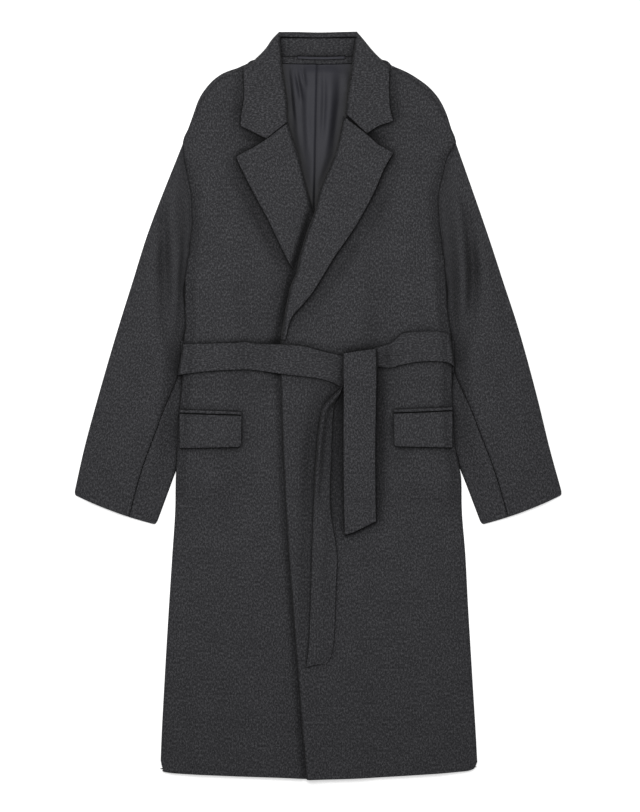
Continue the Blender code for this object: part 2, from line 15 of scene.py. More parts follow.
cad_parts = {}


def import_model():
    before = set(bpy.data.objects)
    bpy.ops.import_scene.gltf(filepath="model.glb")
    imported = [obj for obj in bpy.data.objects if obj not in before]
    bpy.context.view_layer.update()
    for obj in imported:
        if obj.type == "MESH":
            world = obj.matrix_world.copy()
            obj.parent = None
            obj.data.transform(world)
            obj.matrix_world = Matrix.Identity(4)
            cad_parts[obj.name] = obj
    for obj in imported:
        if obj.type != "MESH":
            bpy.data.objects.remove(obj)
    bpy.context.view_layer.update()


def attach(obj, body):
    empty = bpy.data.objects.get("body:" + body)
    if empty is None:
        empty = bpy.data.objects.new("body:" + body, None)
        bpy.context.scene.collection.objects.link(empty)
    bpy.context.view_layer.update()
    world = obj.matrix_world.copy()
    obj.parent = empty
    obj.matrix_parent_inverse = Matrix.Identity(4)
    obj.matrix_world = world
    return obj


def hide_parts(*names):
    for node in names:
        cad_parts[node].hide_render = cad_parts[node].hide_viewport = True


MM = 0.001

# Walls and spacing, as in the solids.
WOOL = 2.2
LINING = 0.9
LAPEL = 3.4
COLLAR = 3.4
BELT = 3.2

SLEEVE_LIFT = 5.9
BELT_LIFT = 3.4
COLLAR_LIFT = 4.8
FRONT_AT_SIDE = 2.6
FRONT_INNER = 4.4
SIDE_SWELL = 6.0
SIDE_TURN = 8.0
ROLL_TURN = 7.0
OVERLAP_RISE = 2.7
LAPEL_RISE = 4.4

# Body edge: shoulder, armhole and side.
# height, wearer's right edge, wearer's left edge
BODY_ROWS = [
    (572, -100, 100),
    (552, -121, 119),
    (533, -161, 153),
    (514, -181, 179),
    (494, -194, 196),
    (470, -203, 208),
    (448, -211, 215),
    (425, -220, 223),
    (400, -219, 209),
    (375, -214, 203),
    (335, -207, 195),
    (295, -206, 197),
    (262, -210, 202),
    (235, -212, 204),
    (215, -215, 205),
    (190, -216, 207),
    (160, -216, 208),
    (128, -215, 212),
    (110, -217, 214),
    (46, -220, 216),
    (24, -222, 216),
    (-60, -228, 220),
    (-122, -231, 231),
    (-165, -232, 232),
    (-245, -237, 238),
    (-322, -242, 242),
    (-439, -249, 249),
    (-556, -255, 256),
    (-620, -257, 259),
]

# Sleeve sections from cuff to sleeve head, one row each: the outer fold's height and its right
# and left places, the same of the inner fold, the height of the top layer, and the share of the
# width at which the seam shows on top.
SLEEVE_ROWS = [
    (-146, (-395, 394), -194, (-264, 265), 10.0, 0.673),
    (-70, (-378, 373), -118, (-236, 236), 12.5, 0.657),
    (8, (-357, 354), -46, (-210, 207), 14.0, 0.674),
    (125, (-323, 322), 56, (-187, 180), 15.0, 0.755),
    (202, (-299, 297), 112, (-188, 178), 15.0, 0.78),
    (270, (-278, 275), 150, (-196, 184), 14.0, 0.735),
]
HEAD_LOFT = 12.0
HEAD_BLEND = 32
# Where the armhole's heights are given, from the shoulder (0) round to the underarm (1).
SLEEVE_STATIONS = [0.0, 0.12, 0.24, 0.38, 0.5, 0.56, 0.6, 0.64, 0.7, 0.8, 0.9, 1.0]
ARMHOLE_HEIGHTS = [425, 400, 375, 335, 295, 262, 235, 215, 208, 203, 197, 190]
UNDERARM_STATION = 0.64
ARMHOLE_INWARD = 14
ARMHOLE_INSET = 1.4
SEAM_STATION = 0.7
BACK_SEAM = 0.14
SLEEVE_FLAT = 5.2
SLEEVE_LEAST = 4.2
SLEEVE_STEP = 5.0
FOLD_REACH = 6.0
WALL_ROUND = 1.1
NO_EDGE = 99.0
CUFF_BOW = 3.2
CUFF_ROUND = 8.0
CUFF_TUCK = 4.5

ROLL_RIGHT = [(-69, 596), (-64, 554), (-59, 525), (-51, 492), (-49, 457), (-40, 429), (-30, 397),
              (-23, 369), (-16, 343), (-6, 311)]
ROLL_HIDDEN = [(-6, 311), (20, 245), (45, 170), (58, 108)]
ROLL_LEFT = [(68, 596), (53, 554), (51, 531), (46, 499), (40, 467), (33, 432), (25, 402), (2, 350),
             (-7, 311), (-19, 280), (-32, 235), (-36, 214), (-46, 190), (-53, 156), (-59, 122),
             (-61, 105)]
CLOSURE = [(-61, 105), (-61, 49), (-58, -57), (-55, -122), (-53, -164), (-48, -245), (-41, -339),
           (-34, -424), (-30, -478), (-27, -518), (-19, -606)]
UNDER_EDGE = [(76, -604), (62, -322), (58, -60), (60, 46), (58, 108)]

HEM_RIGHT = [(-255, -575), (-252, -588), (-243, -595), (-150, -600), (-60, -603), (-19, -605)]
HEM_LEFT = [(-19, -606), (60, -604), (150, -599), (221, -594), (249, -590), (257, -578)]

WOOL_DARK = (0.0205, 0.0205, 0.0222)
WOOL_MID = (0.0380, 0.0380, 0.0415)
WOOL_LIGHT = (0.083, 0.083, 0.0885)
LINING_COLOR = (0.026, 0.026, 0.034)

# Studio, in metres and watts.
CENTRE_X = 0.0024
CENTRE_Y = -0.0016
CAMERA_HEIGHT = 4.5
VIEW_TALL = 1.3154
FLOOR_HALF = 6.0
FLOOR_Z = -0.0004
# Name, place, side and power of each light.
LIGHTS = [("overhead", (-0.10, 0.40, 1.8), 1.0, 27.2), ("side", (-1.6, 0.9, 1.6), 1.2, 3.0)]
LIGHTS_AIM = (0.0, 0.25, 0.0)


# ---------------------------------------------------------------- numbers

def smooth(t):
    """Smoothstep of t, held at 0 and 1."""
    t = np.clip(t, 0, 1)
    return t * t * (3 - 2 * t)


def ramp(value, stops):
    """Smooth steps through (place, amount) stops, in rising order of place."""
    value = np.asarray(value, float)
    total = np.full(value.shape, float(stops[0][1]))
    for (a, low), (b, high) in zip(stops, stops[1:]):
        total = total + (high - low) * smooth((value - a) / (b - a))
    return total


def through(value, places, amounts):
    """Monotone cubic through (place, amount) pairs with rising places."""
    places, amounts = np.asarray(places, float), np.asarray(amounts, float)
    value = np.clip(np.asarray(value, float), places[0], places[-1])
    step = np.diff(places)
    slope = np.diff(amounts) / step
    tangent = np.zeros(len(places))
    tangent[0], tangent[-1] = slope[0], slope[-1]
    same = slope[:-1] * slope[1:] > 0
    w1, w2 = 2 * step[1:] + step[:-1], step[1:] + 2 * step[:-1]
    with np.errstate(divide="ignore", invalid="ignore"):
        mean = (w1 + w2) / (w1 / slope[:-1] + w2 / slope[1:])
    tangent[1:-1] = np.where(same, mean, 0)
    i = np.clip(np.searchsorted(places, value, side="right") - 1, 0, len(step) - 1)
    t = (value - places[i]) / step[i]
    h = step[i]
    return ((1 + 2 * t) * (1 - t) ** 2 * amounts[i] + t * (1 - t) ** 2 * h * tangent[i]
            + t * t * (3 - 2 * t) * amounts[i + 1] + t * t * (t - 1) * h * tangent[i + 1])


def edge(side, y):
    """X of the body's edge on one side at height y."""
    rows = BODY_ROWS[::-1]
    column = 1 if side == "right" else 2
    return through(y, [row[0] for row in rows], [row[column] for row in rows])


def swept(points, spacing=2.5):
    """Catmull-Rom curve through points, as points about a spacing apart."""
    points = np.asarray(points, float)
    if len(points) == 2:
        count = max(1, math.ceil(np.linalg.norm(points[1] - points[0]) / spacing))
        t = np.linspace(0, 1, count + 1)[:, None]
        return points[0] + (points[1] - points[0]) * t
    padded = np.vstack([2 * points[0] - points[1], points, 2 * points[-1] - points[-2]])
    pieces = []
    for k in range(1, len(padded) - 2):
        p0, p1, p2, p3 = padded[k - 1:k + 3]
        t = np.linspace(0, 1, 24, endpoint=False)[:, None]
        pieces.append(0.5 * (2 * p1 + (p2 - p0) * t + (2 * p0 - 5 * p1 + 4 * p2 - p3) * t ** 2
                             + (3 * p1 - p0 - 3 * p2 + p3) * t ** 3))
    line = np.vstack(pieces + [points[-1:]])
    along = np.concatenate([[0], np.cumsum(np.linalg.norm(np.diff(line, axis=0), axis=1))])
    at = np.linspace(0, along[-1], max(2, math.ceil(along[-1] / spacing) + 1))
    return np.stack([np.interp(at, along, line[:, k]) for k in range(2)], axis=1)


def from_line(x, y, path):
    """Distance of points from a polyline, and how far along it, from 0 to 1, each one is."""
    path = np.asarray(path, float)
    lengths = np.linalg.norm(np.diff(path, axis=0), axis=1)
    starts = np.concatenate([[0], np.cumsum(lengths)])
    best = np.full(x.shape, np.inf)
    place = np.zeros(x.shape)
    for k, length in enumerate(lengths):
        (ax, ay), (bx, by) = path[k], path[k + 1]
        t = ((x - ax) * (bx - ax) + (y - ay) * (by - ay)) / length ** 2
        t = np.clip(t, 0, 1)
        d = np.hypot(x - ax - (bx - ax) * t, y - ay - (by - ay) * t)
        near = d < best
        best = np.where(near, d, best)
        place = np.where(near, (starts[k] + t * length) / starts[-1], place)
    return best, place


def creases(x, y, rows):
    """Sum of soft ridges and troughs. Each row: half-width, height, then the path's points."""
    total = np.zeros(x.shape)
    for half, height, *path in rows:
        line = swept(path, 12.0)
        d, t = from_line(x, y, line)
        fade = np.sin(np.pi * np.clip(t, 0.02, 0.98)) ** 0.7
        total += height * fade * np.exp(-(d / half) ** 2)
    return total


# ---------------------------------------------------------------- layers

def inward(side, x, y):
    """Distance in from the body's edge."""
    return x - edge("right", y) if side == "right" else edge("left", y) - x


def closure_x(y):
    """X of the left front's free edge, and of its lapel's roll above that."""
    return np.interp(y, [-606, -164, 49, 105, 214, 311], [-19, -53, -61, -61, -36, -7])


def sleeve_lift(x, y):
    """How far the body's side is held up by the sleeve under it."""
    along = ramp(y, [(-170, 0), (-118, 1), (196, 1), (262, 0)])
    across = (ramp(inward("right", x, y), [(62, 1), (118, 0)])
              + ramp(inward("left", x, y), [(62, 1), (118, 0)]))
    return SLEEVE_LIFT * along * across


def collar_lift(y):
    """How far the neck is held up by the collar behind it."""
    return COLLAR_LIFT * ramp(y, [(465, 0), (516, 1)])


def belt_lift(y):
    """How far the waist is held up by the belt's run across the back."""
    return BELT_LIFT * ramp(y, [(22, 0), (48, 1), (108, 1), (132, 0)])


def back_low(x, y):
    """Underside of the back."""
    return sleeve_lift(x, y) + collar_lift(y) + belt_lift(y)


def front_rise(x, y):
    """Height of a front over the back: low at the body's edge, full a little way in."""
    near = np.minimum(inward("right", x, y), inward("left", x, y))
    fuller = SIDE_SWELL * ramp(near, [(3, 0), (22, 1), (55, 1), (120, 0)])
    fuller = fuller * ramp(y, [(-190, 0), (-120, 1), (400, 1), (450, 0)])
    plain = ramp(near, [(3, FRONT_AT_SIDE), (26, FRONT_INNER + 1.0), (70, FRONT_INNER + 3.4)])
    return plain + fuller


def overlap_rise(x, y):
    """How far the left front is held up by the right front and the hidden lapel."""
    across = ramp(x, [(62, 1), (104, 0)])
    over_front = ramp(y, [(330, 1), (378, 0)])
    over_lapel = ramp(y, [(40, 0), (112, 1), (330, 1), (378, 0)])
    return across * (OVERLAP_RISE * over_front + LAPEL_RISE * over_lapel)


# Ridges and troughs of the fronts: half-width, height, path.
FRONT_CREASES = {
    "right": [
        (26, 1.6, (-150, 330), (-140, 240), (-150, 150)),
        (20, 1.2, (-120, 260), (-90, 180), (-80, 120)),
        (18, -0.8, (-170, 260), (-165, 190), (-172, 120)),
        (30, 1.8, (-170, 20), (-168, -200), (-176, -420), (-180, -570)),
        (26, 1.2, (-95, 20), (-100, -180), (-110, -380)),
        (22, -0.8, (-135, -90), (-136, -260), (-142, -460)),
        (16, 0.9, (-60, -250), (-66, -420), (-70, -590)),
    ],
    "left": [
        (26, 1.8, (150, 400), (146, 300), (150, 180)),
        (24, 1.4, (110, 300), (112, 220), (120, 140)),
        (18, -0.8, (172, 330), (176, 250), (182, 150)),
        (30, 1.8, (168, 20), (172, -180), (180, -400), (186, -570)),
        (24, 1.4, (110, 20), (116, -180), (122, -380), (126, -560)),
        (22, -0.9, (142, -100), (146, -280), (154, -470)),
        (22, 1.2, (40, -230), (44, -400), (48, -590)),
        (16, -0.6, (80, -240), (84, -400), (90, -560)),
    ],
}

# The belt draws the fronts in: a fold of cloth above it, a hollow under its edge.
WAIST_CREASES = [
    (12, 1.8, (-212, 118), (-142, 121), (-80, 120), (-20, 115), (40, 100)),
    (12, 1.8, (98, 118), (136, 135), (170, 139), (206, 136)),
    (5, -2.0, (-216, 98), (-142, 102), (-95, 101), (-30, 98), (5, 90), (42, 80)),
    (5, -2.0, (92, 93), (126, 109), (153, 119), (184, 120), (212, 117)),
    (10, 1.0, (-206, 34), (-121, 42), (-59, 36), (0, 28)),
    (10, 1.0, (110, 46), (150, 52), (205, 54)),
]

# Hollows of the fronts beside what lies on them: lapels, collar leaf, belt ends.
UNDER_END_HOLLOW = (15, -5.4, (42, 40), (32, -30), (29, -110), (26, -230))
EDGE_HOLLOWS = {
    "right": [
        (9, -3.6, (-40, 205), (-60, 232), (-89, 288), (-112, 330), (-133, 372), (-146, 404)),
        (8, -2.8, (-134, 440), (-133, 467), (-129, 489), (-128, 512), (-128, 540)),
        (7, -3.0, (-88, 434), (-106, 431), (-128, 441)),
        UNDER_END_HOLLOW,
    ],
    "left": [
        (9, -3.6, (-44, 110), (-26, 140), (6, 176), (28, 212), (43, 236), (60, 259), (80, 289),
         (104, 332), (122, 374), (134, 404)),
        (8, -2.8, (130, 445), (124, 480), (122, 501), (122, 525), (123, 542)),
        (8, -4.6, (74, 442), (94, 430), (122, 440)),
        UNDER_END_HOLLOW,
        (9, -3.8, (98, 72), (98, 20), (98, -60), (98, -204)),
        (9, -3.2, (30, 38), (8, 20), (-6, -8), (-12, -50), (-16, -110), (-20, -245), (-23, -360),
         (-27, -440)),
    ],
}


def front_low(which, x, y):
    """Underside of a front, with the hollows beside what lies on it."""
    return front_plain(which, x, y) + creases(x, y, EDGE_HOLLOWS[which])


def front_plain(which, x, y):
    """Underside of a front."""
    low = back_low(x, y) + front_rise(x, y)
    if which == "left":
        low = low + overlap_rise(x, y) + edge_spring(x, y)
    swell = creases(x, y, FRONT_CREASES[which]) + drape(x, y)
    inner = ramp(np.minimum(inward("right", x, y), inward("left", x, y)), [(4, 0), (40, 1)])
    return (low + swell * inner + creases(x, y, WAIST_CREASES)
            + closure_dip(which, x, y) + seam_grooves(which, x, y))


def seam_grooves(which, x, y):
    """Sunk lines of the armhole seam and of the shoulder seam."""
    armhole = [(float(edge(which, h)), h) for h in (424, 400, 375, 335, 295, 262, 240)]
    sign = 1 if which == "right" else -1
    shoulder = [(float(edge(which, h)) + sign * 3.0, h - 6.0) for h in (549, 533, 514, 494, 472)]
    at_armhole, _ = from_line(x, y, armhole)
    at_shoulder, _ = from_line(x, y, shoulder)
    fold = 1.8 * np.exp(-((at_armhole - 9) / 7) ** 2)
    return fold - 2.4 * np.exp(-(at_armhole / 2.4) ** 2) - 1.8 * np.exp(-(at_shoulder / 1.7) ** 2)


def closure_dip(which, x, y):
    """Hollow of the right front beside the edge of the left one."""
    if which == "left":
        return np.zeros(x.shape)
    line = closure_x(y)
    depth = ramp(y, [(40, 2.3), (110, 3.4), (290, 3.4), (330, 0)])
    half = ramp(y, [(40, 4.0), (110, 6.5)])
    return -depth * np.exp(-((x - line + 3.5) / half) ** 2)


def edge_spring(x, y):
    """The left front's free edge stands a little off the right front."""
    line = closure_x(y)
    free = ramp(y, [(-620, 1.0), (-300, 0.7), (40, 0.6), (105, 0.5), (170, 0.2), (260, 0)])
    return 3.2 * free * np.exp(-(np.maximum(x - line, 0) / 22) ** 2)


def drape(x, y):
    """Slow uneven swell of cloth that lies on cloth."""
    return 0.55 * (np.sin(x / 37 + 1.3 * np.sin(y / 90)) * np.sin(y / 71 + 0.8)
                   + 0.7 * np.sin(x / 61 - y / 133 + 2.0))


def front_top(which, x, y):
    """Upper face of a front."""
    return front_low(which, x, y) + WOOL


def top_of_fronts(x, y, low=front_low):
    """Upper face of whichever front is uppermost, smoothed over the closure's step."""
    line = closure_x(y)
    share = smooth((x - line + 34) / 34)
    return low("right", x, y) * (1 - share) + low("left", x, y) * share + WOOL


# ---------------------------------------------------------------- meshes

def add_mesh(name, points, faces, look, cloth):
    """Object from millimetre points. cloth holds each point's place in the flat cloth."""
    mesh = bpy.data.meshes.new(name)
    points = np.asarray(points, float) * MM
    mesh.from_pydata(points.tolist(), [], [list(map(int, f)) for f in faces])
    mesh.shade_smooth()
    mesh.materials.append(look)
    flat = mesh.attributes.new("cloth", "FLOAT_VECTOR", "POINT")
    flat.data.foreach_set("vector", np.asarray(cloth, np.float32).ravel())
    made = bpy.data.objects.new(name, mesh)
    bpy.context.scene.collection.objects.link(made)
    return made


def inside(points, loop):
    """Which points lie inside a closed loop."""
    within = np.zeros(len(points), bool)
    ax, ay = loop[:, 0], loop[:, 1]
    bx, by = np.roll(ax, -1), np.roll(ay, -1)
    for start in range(0, len(points), 2000):
        x = points[start:start + 2000, 0:1]
        y = points[start:start + 2000, 1:2]
        crosses = (ay > y) != (by > y)
        with np.errstate(divide="ignore", invalid="ignore"):
            at = ax + (y - ay) / (by - ay) * (bx - ax)
        within[start:start + 2000] = (crosses & (x < at)).sum(axis=1) % 2 == 1
    return within


def clearance(points, loop):
    """Distance of points from a closed loop of closely spaced points."""
    far = np.zeros(len(points))
    for start in range(0, len(points), 2000):
        some = points[start:start + 2000]
        d = np.hypot(some[:, 0:1] - loop[:, 0], some[:, 1:2] - loop[:, 1])
        far[start:start + 2000] = d.min(axis=1)
    return far


def close_up(curves):
    """Makes each stretch end where the next one starts."""
    joined = [list(map(tuple, curve)) for curve in curves]
    for now, following in zip(joined, joined[1:] + joined[:1]):
        now[-1] = following[0]
    return joined


def flat_at(height):
    """An underside that lies at one height."""
    return lambda x, y: np.full(x.shape, height)


# How far in from an outline the rings of points lie, for a plain edge and for a turned one.
EDGE_LOOPS = (0.0, 0.22, 0.6, 1.2, 2.2, 3.8)
TURN_LOOPS = (0.0, 0.3, 0.9, 1.8, 3.0, 4.6, 6.2, 7.8, 9.8)
RING_KEPT = 0.93
PLAIN_REACH = 6.0
FAR_IN = 1e3


def cloth_piece(name, curves, low, wall, look, spacing=5.0, turned=None, grain=0.0,
                top=None, roll=None):
    """Closed shell of cloth inside an outline.

    curves are the outline's stretches in order, each smooth in itself. low(x, y) is the
    underside. turned maps a stretch's number to the height that its edge rolls down to and how
    far in the roll starts. grain is the turn of the cloth's grain from Y, in degrees.
    """
    turned = turned or {}
    loops = TURN_LOOPS if turned else EDGE_LOOPS
    rim, about = [], []
    for number, curve in enumerate(close_up(curves)):
        line = swept(curve)[:-1]
        rim.append(line)
        target, reach = turned.get(number, (flat_at(0.0), PLAIN_REACH))
        depth = np.broadcast_to(target(line[:, 0], line[:, 1]), (len(line),))
        is_turned = np.full(len(line), 1.0 if number in turned else 0.0)
        about.append(np.stack([is_turned, depth, np.full(len(line), reach)], axis=1))
    rim, about = np.vstack(rim), np.vstack(about)
    after = np.roll(rim, -1, axis=0)
    if (rim[:, 0] * after[:, 1] - after[:, 0] * rim[:, 1]).sum() < 0:
        rim, about = rim[::-1], about[::-1].copy()
    if turned and about[:, 0].min() < 1:
        wrapped = np.concatenate([about[-2:, 0], about[:, 0], about[:2, 0]])
        about[:, 0] = np.convolve(wrapped, np.ones(5) / 5, "valid")

    ahead = np.roll(rim, -1, axis=0) - np.roll(rim, 1, axis=0)
    normal = np.stack([-ahead[:, 1], ahead[:, 0]], axis=1)
    normal /= np.maximum(np.linalg.norm(normal, axis=1), 1e-9)[:, None]
    flat, offset, abouts = [rim], [np.zeros(len(rim))], [about]
    for distance in loops[1:]:
        ring = rim + normal * distance
        keep = inside(ring, rim) & (clearance(ring, rim) > distance * RING_KEPT)
        flat.append(ring[keep])
        offset.append(np.full(keep.sum(), distance))
        abouts.append(about[keep])
    lowest, highest = rim.min(axis=0), rim.max(axis=0)
    xs = np.arange(lowest[0], highest[0], spacing)
    ys = np.arange(lowest[1], highest[1], spacing * 0.9)
    gx, gy = np.meshgrid(xs, ys)
    gx = gx + (np.arange(len(ys)) % 2)[:, None] * spacing / 2
    grid = np.stack([gx.ravel(), gy.ravel()], axis=1)
    grid = grid[inside(grid, rim)]
    grid = grid[clearance(grid, rim) > loops[-1] + spacing * 0.45]
    flat.append(grid)
    offset.append(np.full(len(grid), FAR_IN))
    abouts.append(np.tile([0.0, 0.0, PLAIN_REACH], (len(grid), 1)))
    flat, offset, abouts = np.vstack(flat), np.concatenate(offset), np.vstack(abouts)

    count = len(rim)
    ring_edges = [(i, (i + 1) % count) for i in range(count)]
    made = delaunay_2d_cdt([Vector(p) for p in flat], ring_edges, [list(range(count))], 1, 1e-5)
    origin = np.array([o[0] if o else 0 for o in made[3]])
    flat = np.array([tuple(v) for v in made[0]])
    offset = offset[origin]
    shares, downs, reaches = abouts[origin].T
    triangles = [tuple(f) for f in made[2]]
    on_rim = {int(o[0]): i for i, o in enumerate(made[3]) if o and o[0] < count}

    x, y = flat[:, 0], flat[:, 1]
    lower = low(x, y)
    upper = lower + wall if top is None else top(x, y)
    half = (upper - lower) / 2
    radius = half if roll is None else np.minimum(roll, half)
    t = np.clip(offset / radius, 0, 1)
    plain_drop = radius * (1 - np.sqrt(1 - (1 - t) ** 2))
    t = np.clip(offset / reaches, 0, 1)
    depth = np.maximum(upper - downs - 1.0, 0)
    turn_drop = depth * (1 - np.sqrt(1 - (1 - t) ** 2))
    upper_now = upper - (1 - shares) * plain_drop - shares * turn_drop
    folded = shares * ramp(offset, [(1.4, 1), (2.6, 0)])
    lower_now = (lower + plain_drop) * (1 - folded) + downs * folded
    lower_now = np.minimum(lower_now, upper_now - 0.05)

    n = len(flat)
    points = np.vstack([np.column_stack([x, y, upper_now]), np.column_stack([x, y, lower_now])])
    faces = triangles + [(n + a, n + c, n + b) for a, b, c in triangles]
    for i in range(count):
        a, b = on_rim[i], on_rim[(i + 1) % count]
        faces.append((b, a, n + a, n + b))
    angle = math.radians(grain)
    u = x * math.cos(angle) + y * math.sin(angle)
    v = -x * math.sin(angle) + y * math.cos(angle)
    cloth = np.column_stack([u, v, np.zeros(n)])
    return add_mesh(name, points, faces, look, np.vstack([cloth, cloth]))


# ---------------------------------------------------------------- materials

class Nodes:
    """Short hand for building a material's node tree."""

    def __init__(self, name):
        self.material = bpy.data.materials.new(name)
        self.material.use_nodes = True
        self.tree = self.material.node_tree
        self.shader = self.tree.nodes["Principled BSDF"]

    def add(self, kind, values=None, **settings):
        node = self.tree.nodes.new(kind)
        for key, value in settings.items():
            setattr(node, key, value)
        for key, value in (values or {}).items():
            node.inputs[key].default_value = value
        return node

    def link(self, output, target):
        self.tree.links.new(output, target)

    def math(self, operation, a, b):
        node = self.add("ShaderNodeMath", operation=operation)
        for socket, value in zip(node.inputs, (a, b)):
            if isinstance(value, (int, float)):
                socket.default_value = value
            else:
                self.link(value, socket)
        return node.outputs[0]

    def sunk(self, color, distance, least, power):
        """Colour darkened by painted shade in hollows narrower than a distance, from an ambient
        occlusion node.
        """
        # Painted shade: the colour is darkened where the surface is hemmed in, in creases, hollows
        # and under edges.
        hollow = self.add("ShaderNodeAmbientOcclusion", {"Distance": distance}, samples=6)
        open_share = self.math("POWER", hollow.outputs["AO"], power)
        shade = self.math("ADD", self.math("MULTIPLY", open_share, 1 - least), least)
        painted_shade_color = self.add("ShaderNodeVectorMath", operation="SCALE")
        self.link(color, painted_shade_color.inputs[0])
        self.link(shade, painted_shade_color.inputs["Scale"])
        return painted_shade_color.outputs[0]

    def ramp(self, factor, stops):
        node = self.add("ShaderNodeValToRGB")
        node.color_ramp.elements[0].position = stops[0][0]
        node.color_ramp.elements[0].color = (*stops[0][1], 1)
        node.color_ramp.elements[1].position = stops[-1][0]
        node.color_ramp.elements[1].color = (*stops[-1][1], 1)
        for place, color in stops[1:-1]:
            node.color_ramp.elements.new(place).color = (*color, 1)
        self.link(factor, node.inputs[0])
        return node.outputs[0]


def wool_material():
    """Milled charcoal wool: melange flecks, a soft twill line, a short nap, and painted shade in
    its hollows.
    """
    nodes = Nodes("charcoal_melange_wool")
    place = nodes.add("ShaderNodeAttribute", attribute_name="cloth").outputs["Vector"]
    stretch = nodes.add("ShaderNodeMapping", {"Scale": (1.0, 0.62, 1.0)})
    nodes.link(place, stretch.inputs["Vector"])

    def noise(scale, detail, rough, source=None):
        node = nodes.add("ShaderNodeTexNoise", {"Scale": scale, "Detail": detail,
                                                "Roughness": rough})
        nodes.link(source or place, node.inputs["Vector"])
        return node.outputs["Fac"]

    flecks = noise(0.42, 1.4, 0.55, stretch.outputs[0])
    fibres = noise(0.66, 1.0, 0.5)
    patches = noise(0.03, 2.0, 0.5)
    twill = nodes.add("ShaderNodeTexWave", {"Scale": 0.30, "Distortion": 3.0, "Detail": 2.0,
                                            "Detail Scale": 1.6}, bands_direction="DIAGONAL")
    nodes.link(place, twill.inputs["Vector"])
    mixed = nodes.math("MULTIPLY", flecks, 0.60)
    mixed = nodes.math("ADD", mixed, nodes.math("MULTIPLY", fibres, 0.30))
    mixed = nodes.math("ADD", mixed, nodes.math("MULTIPLY", twill.outputs["Fac"], 0.04))
    mixed = nodes.math("ADD", mixed, nodes.math("MULTIPLY", patches, 0.06))
    color = nodes.ramp(mixed, [(0.36, WOOL_DARK), (0.5, WOOL_MID), (0.64, WOOL_LIGHT)])
    # Painted shade: the flecked colour is darkened in creases, hollows and under edges.
    nodes.link(nodes.sunk(color, 0.055, 0.05, 3.2), nodes.shader.inputs["Base Color"])
    rough = nodes.math("ADD", nodes.math("MULTIPLY", fibres, 0.14), 0.82)
    nodes.link(rough, nodes.shader.inputs["Roughness"])
    relief = nodes.math("ADD", nodes.math("MULTIPLY", flecks, 0.5),
                        nodes.math("MULTIPLY", fibres, 0.5))
    bump = nodes.add("ShaderNodeBump", {"Strength": 0.5, "Distance": 0.0008})
    nodes.link(relief, bump.inputs["Height"])
    nodes.link(bump.outputs[0], nodes.shader.inputs["Normal"])
    nodes.shader.inputs["Specular IOR Level"].default_value = 0.12
    nodes.shader.inputs["Sheen Weight"].default_value = 0.05
    nodes.shader.inputs["Sheen Roughness"].default_value = 0.5
    return nodes.material


def lining_material():
    """Dark satin: smooth, a little glossy along the folds, with a fine weave and painted shade in
    its hollows.
    """
    nodes = Nodes("dark_satin_lining")
    place = nodes.add("ShaderNodeAttribute", attribute_name="cloth").outputs["Vector"]
    threads = nodes.add("ShaderNodeTexNoise", {"Scale": 1.6, "Detail": 2.0})
    stretch = nodes.add("ShaderNodeMapping", {"Scale": (1.0, 0.18, 1.0)})
    nodes.link(place, stretch.inputs["Vector"])
    nodes.link(stretch.outputs[0], threads.inputs["Vector"])
    dark = tuple(c * 0.82 for c in LINING_COLOR)
    light = tuple(c * 1.2 for c in LINING_COLOR)
    color = nodes.ramp(threads.outputs["Fac"], [(0.3, dark), (0.7, light)])
    # Painted shade: the satin colour is darkened in folds and beside the collar's rolls.
    nodes.link(nodes.sunk(color, 0.050, 0.06, 4.4), nodes.shader.inputs["Base Color"])
    rough = nodes.math("ADD", nodes.math("MULTIPLY", threads.outputs["Fac"], 0.1), 0.5)
    nodes.link(rough, nodes.shader.inputs["Roughness"])
    nodes.shader.inputs["Specular IOR Level"].default_value = 0.2
    bump = nodes.add("ShaderNodeBump", {"Strength": 0.15, "Distance": 0.0002})
    nodes.link(threads.outputs["Fac"], bump.inputs["Height"])
    nodes.link(bump.outputs[0], nodes.shader.inputs["Normal"])
    return nodes.material


# ---------------------------------------------------------------- pieces

def side_curve(side, top_y, low_y, inset=0.0):
    """Points of the body's edge from top_y down to low_y."""
    sign = -1 if side == "right" else 1
    ys = np.linspace(top_y, low_y, max(3, int(abs(top_y - low_y) / 9)))
    return [(float(edge(side, y)) - sign * inset, float(y)) for y in ys]


NECK_CORNER = {"right": [(-68, 566), (-104, 558), (-119, 549)],
               "left": [(119, 549), (104, 558), (58, 566)]}


def make_back(wool):
    curves = [
        [(-90, 569.6), (-103, 558.5), (-121, 546)],
        side_curve("right", 546, 430, 3.0),
        side_curve("right", 430, 232, 0.6),
        side_curve("right", 232, -578, 3.0),
        [(-251, -578), (-247, -586), (-236, -591), (0, -599), (236, -588), (248, -584),
         (253, -578)],
        side_curve("left", 232, -578, 3.0)[::-1],
        side_curve("left", 430, 232, 0.6)[::-1],
        side_curve("left", 546, 430, 3.0)[::-1],
        [(119, 546), (103, 558.5), (90, 569.6)],
        [(90, 569.6), (-90, 569.6)],
    ]
    return cloth_piece("coat_back", curves, back_low, WOOL, wool, spacing=8.0)


